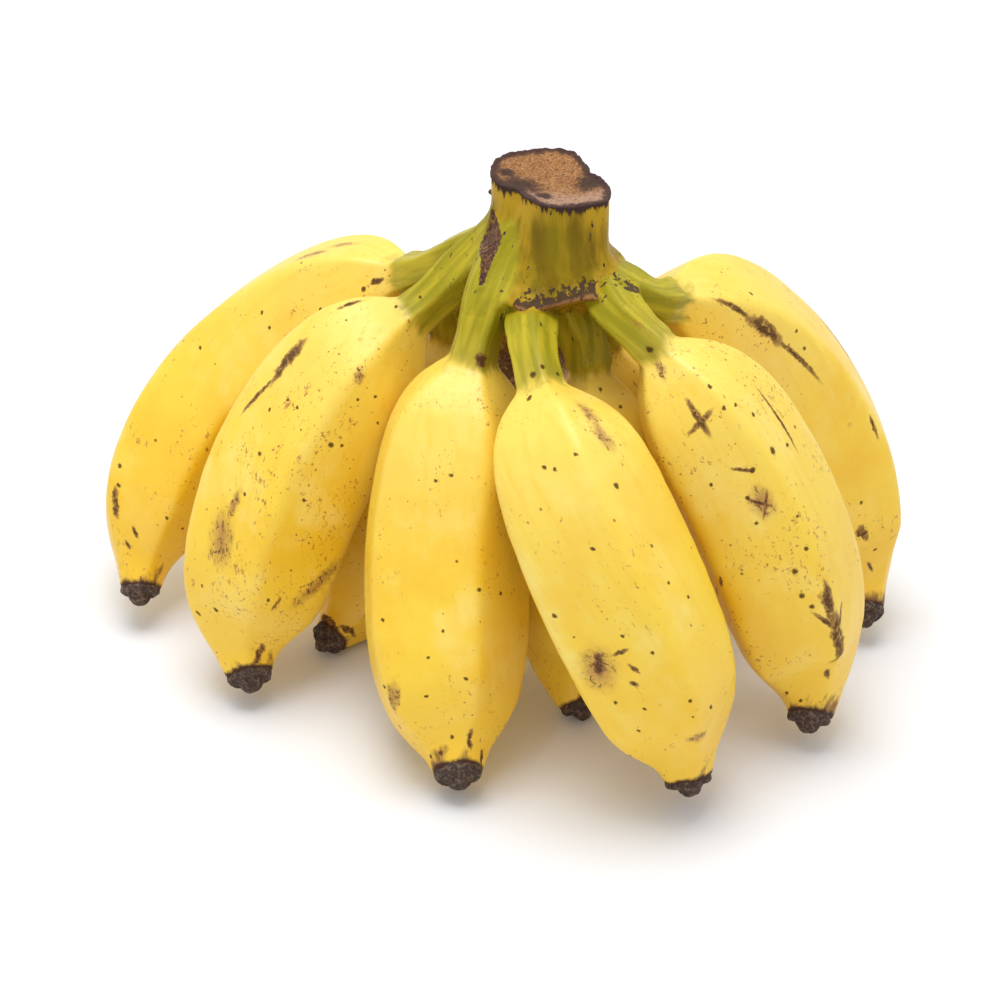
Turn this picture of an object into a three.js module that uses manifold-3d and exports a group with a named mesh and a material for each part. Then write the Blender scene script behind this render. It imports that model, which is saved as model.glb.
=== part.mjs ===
// A hand of ten short, plump bananas, still joined at the cut crown and standing on its fruit tips.
// Millimetres, +Z up. X runs along the hand, -Y is its front, and the tips rest on Z = 0.
import * as THREE from "three";
import Module from "manifold-3d";
import { mergeVertices } from "three/addons/utils/BufferGeometryUtils.js";

const GAP = 0.3; // clearance between two pieces that meet
const CUT_GROWTH = 0.45; // how much a banana is grown all round before it is cut out of the crown
const PATH_STEP = 0.5; // longest straight step when a centre line is added up

// Bananas, left to right round the front, then the two at the back. Bearings are in degrees round the
// crown, 0 at the front and 90 at the right, and dips are degrees below level; each list gives the value
// where the stalk leaves the crown, at the shoulder, where the nose begins and at the tip. Lengths are
// along the curve.
const BANANAS = [
  {
    root: [-3, 18.5, 99], bearing: [-108, -135, -28, -1], dip: [37, 30, 48, 42],
    stalk: 27.5, body: 113.5, radius: 16, roll: 10,
  },
  {
    root: [-3.5, 12.5, 100], bearing: [-95, -80, -29, 14], dip: [49, 39, 67, 37],
    stalk: 23, body: 96, radius: 18, roll: 30,
  },
  {
    root: [-5, 23, 87], bearing: [-144, -64, -38, -37], dip: [37, 88, 43, 14],
    stalk: 19.5, body: 82, radius: 14.5, roll: 0,
  },
  {
    root: [-1, -1, 101.5], bearing: [-26, -36, 13, 7], dip: [46, 71, 50, 31],
    stalk: 20.5, body: 93.5, radius: 18.5, roll: 20,
  },
  {
    root: [7.5, -6, 93], bearing: [-9, 17, 73, 26], dip: [-12, 40, 70, 62],
    stalk: 24, body: 94, radius: 18, roll: 50,
  },
  {
    root: [14.5, 2, 92.5], bearing: [73, 16, -43, 33], dip: [55, 64, 80, 41],
    stalk: 17.5, body: 78.5, radius: 14.5, roll: 0,
  },
  {
    root: [24, -4, 98], bearing: [6, 71, 63, -11], dip: [-5, 46, 77, 41],
    stalk: 20.5, body: 95, radius: 17, roll: 40,
  },
  {
    root: [24, 2.5, 102.5], bearing: [14, 147, 48, 4], dip: [22, 29, 76, 32],
    stalk: 20, body: 109.5, radius: 16, roll: 15,
  },
  {
    root: [17, 17, 89.5], bearing: [101, 121, 112, 103], dip: [64, 64, 62, 61],
    stalk: 19.5, body: 75, radius: 16, roll: 25,
  },
  {
    root: [8, 21, 92], bearing: [-179, -178, -174, -168], dip: [35, 50, 59, 71],
    stalk: 22, body: 86.5, radius: 16, roll: 5,
  },
];
const NOSE = 0.8; // share of the fruit's length at which its nose begins
const STALK_RADIUS = 5.2;
const COLLAR = 0.45; // share of the stalk that stays with the crown
const FINGER_SIDES = 20;
const RIDGES = 5; // a banana is a rounded pentagon in section
const RIDGE_HEIGHT = 0.02; // of the radius
const STALK_RINGS = [0, 0.35, 0.7]; // share of the free stalk
// Radius of the fruit as a share of its largest, at shares of the way from shoulder to tip.
const FRUIT_PROFILE = [
  [0, 0.3], [0.025, 0.42], [0.055, 0.57], [0.1, 0.73], [0.16, 0.86], [0.24, 0.945], [0.34, 0.985], [0.46, 1],
  [0.59, 0.985], [0.71, 0.94], [0.8, 0.85], [0.86, 0.73], [0.91, 0.57], [0.95, 0.42], [1, 0.3],
];

// Dried flower end: the withered remnant of the flower, which sits on the fruit's blunt tip.
const FLOWER_LENGTH = 5.5;
const FLOWER_SIDES = 10;
// Radius of the flower end as a share of the tip's, at shares of its length.
const FLOWER_PROFILE = [[0, 0.96], [0.2, 1], [0.45, 0.78], [0.8, 0.5], [1, 0.3]];
const FLOWER_RIDGE_HEIGHT = 0.08;

// Crown: an upright neck with a slanted kidney-shaped cut face and a wider foot, which overhangs the
// front stalks. Outlines run round the neck's axis; ten root limbs spring from inside the neck.
const NECK_AXIS = [11.2, 6.6];
const CUT_FACE = [
  [-13, 5], [-11, 10.5], [-4, 14], [2, 15.5], [5, 14.5], [7, 10], [8.5, 4], [12.5, -1],
  [13, -6], [12.5, -9], [8.5, -11], [0, -13], [-3, -11.5], [-7, -5.5], [-10.5, -4], [-13, 0],
];
const FOOT = [
  [-15, 6], [-12, 13], [-3, 16], [6, 15], [13, 9], [16, 0],
  [15.5, -8], [10.5, -14.5], [2, -16.5], [-5, -14], [-10, -8], [-13.5, -1],
];
const CUT_TILT = 0.05; // fall of the cut face towards the right, mm per mm
const FOOT_TILT = 0.15; // rise of the foot towards the right, mm per mm
const CROWN_SIDES = 48;
// Neck sections from the bottom up: height, share of the way to the foot's outline, share of its width.
const NECK_SECTIONS = [
  { z: 89, foot: 1, width: 0.35 },
  { z: 94, foot: 1, width: 0.65 },
  { z: 98, foot: 1, width: 0.93 },
  { z: 99.5, foot: 1, width: 1 },
  { z: 103, foot: 0.5, width: 1 },
  { z: 108, foot: 0.15, width: 0.97 },
  { z: 114, foot: 0, width: 0.97 },
  { z: 121, foot: 0, width: 1 },
];
// Where a limb springs: share of the way in from its root to the neck's axis, and height above the root.
const SPRING = { inward: 0.55, up: 9 };
const LIMB_SIDES = 16;
const LIMB_RADII = [4, 6, STALK_RADIUS]; // where it springs, at the root and at the collar

const FINISHES = {
  crown: { color: 0xa8a83a, roughness: 0.6, metalness: 0 },
  peel: { color: 0xf2cc4e, roughness: 0.5, metalness: 0 },
  flowerEnd: { color: 0x463a30, roughness: 0.95, metalness: 0 },
};
const CUTTER_SIZE = 80; // block that trims what reaches below the surface

const wasm = await Module();
wasm.setup();

/** Unit vector for a bearing round the crown and a dip below level. */
function heading(bearing, dip) {
  const around = THREE.MathUtils.degToRad(bearing);
  const down = THREE.MathUtils.degToRad(dip);
  const level = Math.cos(down);
  return new THREE.Vector3(level * Math.sin(around), -level * Math.cos(around), -Math.sin(down));
}

/** Bearing and dip of a banana's centre line at a distance from its root. */
function anglesAt(banana, distance) {
  const { stalk, body } = banana;
  const knots = [0, stalk, stalk + NOSE * body, stalk + body];
  let from = 0;
  while (from < knots.length - 2 && distance > knots[from + 1]) from++;
  const share = (distance - knots[from]) / (knots[from + 1] - knots[from]);
  const blend = (values) => THREE.MathUtils.lerp(values[from], values[from + 1], share);
  return { bearing: blend(banana.bearing), dip: blend(banana.dip) };
}

/** Point of a banana's centre line, measured from its root, with the axes of the section there. */
function frameAt(banana, distance) {
  const steps = Math.max(1, Math.ceil(distance / PATH_STEP));
  const step = distance / steps;
  const point = new THREE.Vector3();
  for (let i = 0; i < steps; i++) {
    const { bearing, dip } = anglesAt(banana, (i + 0.5) * step);
    point.addScaledVector(heading(bearing, dip), step);
  }
  const { bearing, dip } = anglesAt(banana, distance);
  const forward = heading(bearing, dip);
  const side = heading(bearing + 90, 0);
  const back = new THREE.Vector3().crossVectors(forward, side);
  return { point, forward, side, back };
}

/** Closed ring of points round a section frame; reach gives the radius at each angle. */
function ring(frame, sides, reach) {
  const points = [];
  for (let i = 0; i < sides; i++) {
    const angle = (2 * Math.PI * i) / sides;
    const radius = reach(angle);
    const point = frame.point.clone();
    point.addScaledVector(frame.side, radius * Math.cos(angle));
    point.addScaledVector(frame.back, radius * Math.sin(angle));
    points.push(point);
  }
  return points;
}

/** Closed geometry through a row of rings, with a flat fan over each end. */
function loft(rings) {
  const sides = rings[0].length;
  const positions = rings.flat().flatMap((point) => point.toArray());
  const triangles = [];
  for (let row = 0; row < rings.length - 1; row++) {
    for (let i = 0; i < sides; i++) {
      const a = row * sides + i;
      const b = row * sides + ((i + 1) % sides);
      triangles.push(a, b, b + sides, a, b + sides, a + sides);
    }
  }
  const addCap = (offset, points, flip) => {
    const centre = positions.length / 3;
    const middle = points.reduce((sum, point) => sum.add(point), new THREE.Vector3());
    positions.push(...middle.divideScalar(sides).toArray());
    for (let i = 0; i < sides; i++) {
      const a = offset + i;
      const b = offset + ((i + 1) % sides);
      triangles.push(centre, ...(flip ? [b, a] : [a, b]));
    }
  };
  addCap(0, rings[0], true);
  addCap((rings.length - 1) * sides, rings[rings.length - 1], false);
  const geometry = new THREE.BufferGeometry();
  geometry.setAttribute("position", new THREE.Float32BufferAttribute(positions, 3));
  geometry.setIndex(triangles);
  return geometry;
}

/** Solid for joining and cutting, from a closed geometry. */
function toSolid(geometry) {
  const bare = geometry.clone();
  bare.deleteAttribute("normal");
  bare.deleteAttribute("uv");
  const merged = mergeVertices(bare);
  const vertProperties = new Float32Array(merged.attributes.position.array);
  const triVerts = new Uint32Array(merged.index.array);
  return new wasm.Manifold(new wasm.Mesh({ numProp: 3, vertProperties, triVerts }));
}

/** Geometry of a joined or cut solid. */
function toGeometry(solid) {
  const mesh = solid.getMesh();
  const geometry = new THREE.BufferGeometry();
  geometry.setAttribute("position", new THREE.BufferAttribute(mesh.vertProperties, 3));
  geometry.setIndex(new THREE.BufferAttribute(mesh.triVerts, 1));
  return geometry;
}

/** Cuts away what reaches below Z = 0, for a geometry that its parent's matrix places. */
function trimToFloor(geometry, matrix) {
  const block = new THREE.BoxGeometry(CUTTER_SIZE, CUTTER_SIZE, CUTTER_SIZE);
  const place = new THREE.Vector3().setFromMatrixPosition(matrix);
  block.translate(place.x, place.y, -CUTTER_SIZE / 2);
  block.applyMatrix4(matrix.clone().invert());
  return toGeometry(toSolid(geometry).subtract(toSolid(block)));
}

/** Named mesh with its own plain material. */
function piece(name, geometry, finish) {
  geometry.computeVertexNormals();
  const mesh = new THREE.Mesh(geometry, new THREE.MeshStandardMaterial(finish));
  mesh.name = name;
  return mesh;
}

/** Radius of a ridged round section at an angle. */
function ridged(radius, height, roll) {
  const turn = THREE.MathUtils.degToRad(roll);
  return (angle) => radius * (1 + height * Math.cos(RIDGES * (angle - turn)));
}

/** One fruit with its free stalk, from the crown's collar to the blunt tip, grown all round. */
function fingerGeometry(banana, grown = 0) {
  const collar = banana.stalk * COLLAR + GAP - grown;
  const free = banana.stalk - collar;
  const rings = STALK_RINGS.map((share) =>
    ring(frameAt(banana, collar + share * free), FINGER_SIDES, ridged(STALK_RADIUS + grown, 0, 0)));
  for (const [share, width] of FRUIT_PROFILE) {
    const frame = frameAt(banana, banana.stalk + share * banana.body);
    const radius = banana.radius * width + grown;
    rings.push(ring(frame, FINGER_SIDES, ridged(radius, RIDGE_HEIGHT * width, banana.roll)));
  }
  return loft(rings);
}

/** Dried flower end, pointing along its own +Z. */
function flowerEndGeometry(banana) {
  const radius = banana.radius * FRUIT_PROFILE.at(-1)[1];
  const rings = FLOWER_PROFILE.map(([share, width]) => {
    const frame = {
      point: new THREE.Vector3(0, 0, share * FLOWER_LENGTH),
      side: new THREE.Vector3(1, 0, 0),
      back: new THREE.Vector3(0, 1, 0),
    };
    return ring(frame, FLOWER_SIDES, ridged(radius * width, FLOWER_RIDGE_HEIGHT, banana.roll));
  });
  return loft(rings);
}

/** A banana: the fruit and its dried flower end, in a group placed at its root. */
function bananaGroup(banana, number) {
  const label = String(number).padStart(2, "0");
  const group = new THREE.Group();
  group.position.set(...banana.root);
  group.updateMatrixWorld();
  const finger = trimToFloor(fingerGeometry(banana), group.matrixWorld);
  group.add(piece(`finger_${label}`, finger, FINISHES.peel));

  const tip = frameAt(banana, banana.stalk + banana.body);
  const seat = new THREE.Group();
  seat.quaternion.setFromRotationMatrix(new THREE.Matrix4().makeBasis(tip.side, tip.back, tip.forward));
  seat.position.copy(tip.point).addScaledVector(tip.forward, GAP);
  group.add(seat);
  group.updateMatrixWorld(true);
  const flowerEnd = trimToFloor(flowerEndGeometry(banana), seat.matrixWorld);
  seat.add(piece(`flower_end_${label}`, flowerEnd, FINISHES.flowerEnd));
  return group;
}

/** Reach of an outline round the neck's axis at an angle, evenly blended between its corners. */
function reachAt(outline, angle) {
  const turn = 2 * Math.PI;
  const corners = outline
    .map(([x, y]) => ({ ahead: (Math.atan2(y, x) - angle + 2 * turn) % turn, reach: Math.hypot(x, y) }))
    .sort((a, b) => a.ahead - b.ahead);
  const next = corners[0];
  const last = corners.at(-1);
  return THREE.MathUtils.mapLinear(0, last.ahead - turn, next.ahead, last.reach, next.reach);
}

/** Neck of the crown, from where its underside closes round the limbs up to the cut face. */
function neckGeometry() {
  const rings = NECK_SECTIONS.map(({ z, foot, width }) => {
    const points = [];
    for (let i = 0; i < CROWN_SIDES; i++) {
      const angle = (2 * Math.PI * i) / CROWN_SIDES;
      const reach = width * THREE.MathUtils.lerp(reachAt(CUT_FACE, angle), reachAt(FOOT, angle), foot);
      const x = reach * Math.cos(angle);
      const y = reach * Math.sin(angle);
      const lift = x * THREE.MathUtils.lerp(-CUT_TILT, FOOT_TILT, foot);
      points.push(new THREE.Vector3(NECK_AXIS[0] + x, NECK_AXIS[1] + y, z + lift));
    }
    return points;
  });
  return loft(rings);
}

/** Root limb: from inside the neck down and out to the collar where one banana's free stalk begins. */
function limbGeometry(banana) {
  const root = new THREE.Vector3(...banana.root);
  const [x, y, z] = banana.root;
  const spring = new THREE.Vector3(
    THREE.MathUtils.lerp(x, NECK_AXIS[0], SPRING.inward),
    THREE.MathUtils.lerp(y, NECK_AXIS[1], SPRING.inward),
    z + SPRING.up,
  );
  const start = frameAt(banana, 0);
  const collar = frameAt(banana, banana.stalk * COLLAR);
  const down = root.clone().sub(spring).normalize();
  const facing = (point, forward) => {
    const back = new THREE.Vector3().crossVectors(forward, start.side).normalize();
    return { point, forward, side: start.side, back };
  };
  collar.point.add(root);
  const frames = [facing(spring, down), facing(root, down.clone().add(start.forward).normalize()), collar];
  return loft(frames.map((frame, i) => ring(frame, LIMB_SIDES, ridged(LIMB_RADII[i], 0, 0))));
}

/** Crown: the neck with its ten root limbs, grown together and kept clear of the free stalks. */
function crown() {
  let solid = toSolid(neckGeometry());
  for (const banana of BANANAS) {
    solid = solid.add(toSolid(limbGeometry(banana)));
  }
  for (const banana of BANANAS) {
    const keepOut = fingerGeometry(banana, CUT_GROWTH).translate(...banana.root);
    solid = solid.subtract(toSolid(keepOut));
  }
  return piece("crown", toGeometry(solid), FINISHES.crown);
}

const hand = new THREE.Group();
hand.add(crown());
BANANAS.forEach((banana, index) => hand.add(bananaGroup(banana, index + 1)));

// The origin is the middle of the hand's footprint, on the surface it stands on.
const footprint = new THREE.Box3().setFromObject(hand, true).getCenter(new THREE.Vector3());
hand.position.set(-footprint.x, -footprint.y, 0);

export default hand;
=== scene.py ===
"""Looks of a hand of short bananas: fruit skins, crown, dried flower ends, studio and camera."""

import logging
import math
from dataclasses import dataclass, field
from enum import Enum
from functools import partial, reduce

import bpy
import numpy as np
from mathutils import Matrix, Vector, noise

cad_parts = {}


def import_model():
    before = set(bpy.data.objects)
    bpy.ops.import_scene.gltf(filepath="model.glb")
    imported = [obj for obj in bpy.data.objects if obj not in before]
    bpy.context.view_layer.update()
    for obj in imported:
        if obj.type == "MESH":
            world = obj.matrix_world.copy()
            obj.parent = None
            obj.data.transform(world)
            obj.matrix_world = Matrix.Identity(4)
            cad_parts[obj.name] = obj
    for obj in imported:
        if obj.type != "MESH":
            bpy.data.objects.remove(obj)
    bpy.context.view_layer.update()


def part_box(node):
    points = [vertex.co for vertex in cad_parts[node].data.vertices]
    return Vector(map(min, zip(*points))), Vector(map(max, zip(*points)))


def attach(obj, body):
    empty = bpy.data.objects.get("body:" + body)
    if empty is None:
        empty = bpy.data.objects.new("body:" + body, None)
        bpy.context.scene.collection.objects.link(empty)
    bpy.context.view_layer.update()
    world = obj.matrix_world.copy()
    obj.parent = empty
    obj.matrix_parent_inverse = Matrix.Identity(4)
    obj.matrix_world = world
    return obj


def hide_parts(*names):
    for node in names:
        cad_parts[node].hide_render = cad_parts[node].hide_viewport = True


LOG = logging.getLogger("banana_hand")
MM = 0.001  # the driving dimensions are in millimetres
BODY = "root"

PATTERN_STEP = (31.0, 17.0, 53.0)  # how far apart the patterns of two bananas are read
USUAL_SHINE = 0.35
MIX_COLOURS = (6, 7)  # a Mix node's sockets for two colours
MIX_RESULT = 2  # and the one that gives the mixed colour

Colour = tuple[float, float, float]
Point = tuple[float, float, float]
Pairs = tuple[tuple[float, float], ...]
Array = np.ndarray
Value = bpy.types.NodeSocket
Sockets = bpy.types.bpy_prop_collection


# ---------------------------------------------------------------- shapes shared by the pieces


@dataclass(frozen=True)
class BananaForm:
    """Driving dimensions of one banana, as the solid model has them.

    Bearings are degrees round the crown, 0 at the front and 90 at the right, and dips are degrees
    below level: each has its value at the root, at the shoulder, where the nose begins and at the tip.
    """

    root: Point
    bearing: tuple[float, float, float, float]
    dip: tuple[float, float, float, float]
    stalk: float
    body: float
    radius: float
    roll: float


FORMS = {
    "01": BananaForm((-3, 18.5, 99), (-108, -135, -28, -1), (37, 30, 48, 42), 27.5, 113.5, 16, 10),
    "02": BananaForm((-3.5, 12.5, 100), (-95, -80, -29, 14), (49, 39, 67, 37), 23, 96, 18, 30),
    "03": BananaForm((-5, 23, 87), (-144, -64, -38, -37), (37, 88, 43, 14), 19.5, 82, 14.5, 0),
    "04": BananaForm((-1, -1, 101.5), (-26, -36, 13, 7), (46, 71, 50, 31), 20.5, 93.5, 18.5, 20),
    "05": BananaForm((7.5, -6, 93), (-9, 17, 73, 26), (-12, 40, 70, 62), 24, 94, 18, 50),
    "06": BananaForm((14.5, 2, 92.5), (73, 16, -43, 33), (55, 64, 80, 41), 17.5, 78.5, 14.5, 0),
    "07": BananaForm((24, -4, 98), (6, 71, 63, -11), (-5, 46, 77, 41), 20.5, 95, 17, 40),
    "08": BananaForm((24, 2.5, 102.5), (14, 147, 48, 4), (22, 29, 76, 32), 20, 109.5, 16, 15),
    "09": BananaForm((17, 17, 89.5), (101, 121, 112, 103), (64, 64, 62, 61), 19.5, 75, 16, 25),
    "10": BananaForm((8, 21, 92), (-179, -178, -174, -168), (35, 50, 59, 71), 22, 86.5, 16, 5),
}
NOSE = 0.8  # share of the fruit's length at which its nose begins


class CentreLine:
    """Curve that one banana grows along, in the hand's own millimetres."""

    STEP = 0.25  # length of one straight step
    BEFORE = 12.0  # run kept before the root, inside the crown
    AFTER = 12.0  # run kept past the tip, through the flower end

    def __init__(self, form: BananaForm) -> None:
        """Adds up the curve.

        Args:
            form: the banana's driving dimensions.
        """
        self.form = form
        self.length = form.stalk + form.body
        edges = np.arange(-self.BEFORE, self.length + self.AFTER, self.STEP)
        headings = self._heading(edges[:-1] + self.STEP / 2)
        points = np.vstack([np.zeros(3), np.cumsum(headings * self.STEP, axis=0)])
        origin = np.array([np.interp(0, edges, points[:, axis]) for axis in range(3)])
        self.edges = edges
        self.points = points - origin + np.array(form.root)

    def _angles(self, distance: Array) -> tuple[Array, Array]:
        """Angles of the curve.

        Args:
            distance: distances from the root, in millimetres.

        Returns:
            Bearing and dip in radians at each.
        """
        form = self.form
        knots = (0, form.stalk, form.stalk + NOSE * form.body, self.length)
        return tuple(np.radians(np.interp(distance, knots, angles)) for angles in (form.bearing, form.dip))

    def _heading(self, distance: Array) -> Array:
        """Directions of the curve.

        Args:
            distance: distances from the root, in millimetres.

        Returns:
            Unit vector at each.
        """
        bearing, dip = self._angles(distance)
        level = np.cos(dip)
        return np.stack([level * np.sin(bearing), -level * np.cos(bearing), -np.sin(dip)], axis=-1)

    def frames(self, distance: Array) -> tuple[Array, Array, Array, Array]:
        """Sections of the curve.

        Args:
            distance: distances from the root, in millimetres.

        Returns:
            The points, and the unit vectors forward, sideways and to the back of each section.
        """
        point = np.stack([np.interp(distance, self.edges, self.points[:, k]) for k in range(3)], axis=-1)
        forward = self._heading(distance)
        bearing, _ = self._angles(distance)
        side = np.stack([np.cos(bearing), np.sin(bearing), np.zeros_like(bearing)], axis=-1)
        return point, forward, side, np.cross(forward, side)

    def twist(self, distance: Array) -> Array:
        """Turn of the fruit's edges round its section frames, which they run through untwisted.

        Args:
            distance: distances from the root, in millimetres.

        Returns:
            The turn in radians at each distance, 0 at the shoulder.
        """
        bearing, dip = self._angles(self.edges)
        turns = np.append(0, np.cumsum(np.sin((dip[1:] + dip[:-1]) / 2) * np.diff(bearing)))
        return np.interp(distance, self.edges, turns) - np.interp(self.form.stalk, self.edges, turns)


def smooth_curve(knots: Array, values: Array, where: Array) -> Array:
    """Smooth curve through a few points.

    Args:
        knots: rising positions of the points.
        values: the curve's value at each.
        where: positions to read the curve at.

    Returns:
        The curve's values, by cubic pieces whose slopes come from the neighbouring points.
    """
    slopes = np.gradient(values, knots)
    index = np.clip(np.searchsorted(knots, where) - 1, 0, len(knots) - 2)
    width = knots[index + 1] - knots[index]
    share = np.clip((where - knots[index]) / width, 0, 1)
    start = (1 + 2 * share) * (1 - share) ** 2
    leave = share * (1 - share) ** 2 * width
    arrive = share**2 * (share - 1) * width
    end = share**2 * (3 - 2 * share)
    return (start * values[index] + end * values[index + 1]
            + leave * slopes[index] + arrive * slopes[index + 1])


def smooth_step(low: float, high: float, value: Array) -> Array:
    """Soft step from 0 at low to 1 at high."""
    share = np.clip((value - low) / (high - low), 0, 1)
    return share * share * (3 - 2 * share)


def softened(reach: Array, softness: float) -> Array:
    """Outline with its corners rounded.

    Args:
        reach: the outline's reach at each whole degree of a turn.
        softness: how far the corners are rounded, in degrees.

    Returns:
        The reach of the rounded outline.
    """
    waves = np.fft.rfft(reach)
    damping = np.exp(-0.5 * (np.arange(len(waves)) * math.radians(softness)) ** 2)
    return np.fft.irfft(waves * damping, len(reach))


def pentagon(angle: Array, corner: float, softness: float) -> Array:
    """Reach of a rounded pentagon.

    Args:
        angle: angles round the section, in radians.
        corner: angle of one corner, in degrees.
        softness: how far the corners are rounded, in degrees.

    Returns:
        The reach at each angle, about 1 on average.
    """
    samples = np.radians(np.arange(360))
    fifth = 2 * math.pi / 5
    reach = softened(math.cos(fifth / 2) / np.cos(np.mod(samples, fifth) - fifth / 2), softness)
    turned = np.mod(np.degrees(angle) - corner, 360)
    return np.interp(turned, np.arange(361), np.append(reach, reach[0])) / reach.mean()


def turns(sides: int) -> Array:
    """Angles of the sides of a section, in radians."""
    return np.linspace(0, 2 * math.pi, sides, endpoint=False)


def spokes(angle: Array, side: Array, back: Array) -> Array:
    """Unit vectors from a section's middle at angles from its side towards its back."""
    return np.cos(angle)[:, None] * side + np.sin(angle)[:, None] * back


def grid_faces(rings: int, sides: int) -> list[tuple[int, ...]]:
    """Faces of a tube of rings, with a fan over each end round one middle vertex.

    Args:
        rings: number of rings.
        sides: vertices in each ring.

    Returns:
        Vertex indices of each face: the rings come first, then the first and last middle vertex.
    """
    faces = []
    for row in range(rings - 1):
        for i in range(sides):
            a, b = row * sides + i, row * sides + (i + 1) % sides
            faces.append((a, b, b + sides, a + sides))
    first, last = rings * sides, rings * sides + 1
    top = (rings - 1) * sides
    for i in range(sides):
        after = (i + 1) % sides
        faces.append((first, after, i))
        faces.append((last, top + i, top + after))
    return faces


def make_object(name: str, points: Array, faces: list[tuple[int, ...]]) -> bpy.types.Object:
    """Mesh object in the scene, smoothly shaded.

    Args:
        name: name of the object and its mesh.
        points: vertices in metres.
        faces: vertex indices of each face.

    Returns:
        The new object.
    """
    mesh = bpy.data.meshes.new(name)
    mesh.from_pydata(points.tolist(), [], faces)
    mesh.update()
    mesh.shade_smooth()
    piece = bpy.data.objects.new(name, mesh)
    bpy.context.scene.collection.objects.link(piece)
    return piece


def store(piece: bpy.types.Object, name: str, values: Array) -> None:
    """Keeps a number or vector at each vertex for the material to read.

    Args:
        piece: object whose mesh takes the values.
        name: name of the attribute.
        values: one number, or one row of three, for each vertex.
    """
    kind, key = ("FLOAT", "value") if values.ndim == 1 else ("FLOAT_VECTOR", "vector")
    attribute = piece.data.attributes.new(name, kind, "POINT")
    attribute.data.foreach_set(key, np.ascontiguousarray(values, dtype=np.float32).ravel())


def rough_noise(points: Array, grain: float, octaves: int, seed: float) -> Array:
    """Fractal noise at each point.

    Args:
        points: places in millimetres.
        grain: size of the largest lumps, in millimetres.
        octaves: number of finer layers.
        seed: offset that gives another pattern.

    Returns:
        Noise of about -1 to 1 at each point.
    """
    offset = Vector((seed * 13.7, seed * 7.3, seed * 3.1))
    return np.array([noise.fractal(Vector(point) / grain + offset, 1.0, 2.0, octaves) for point in points])


# ---------------------------------------------------------------- shader node helpers


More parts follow.
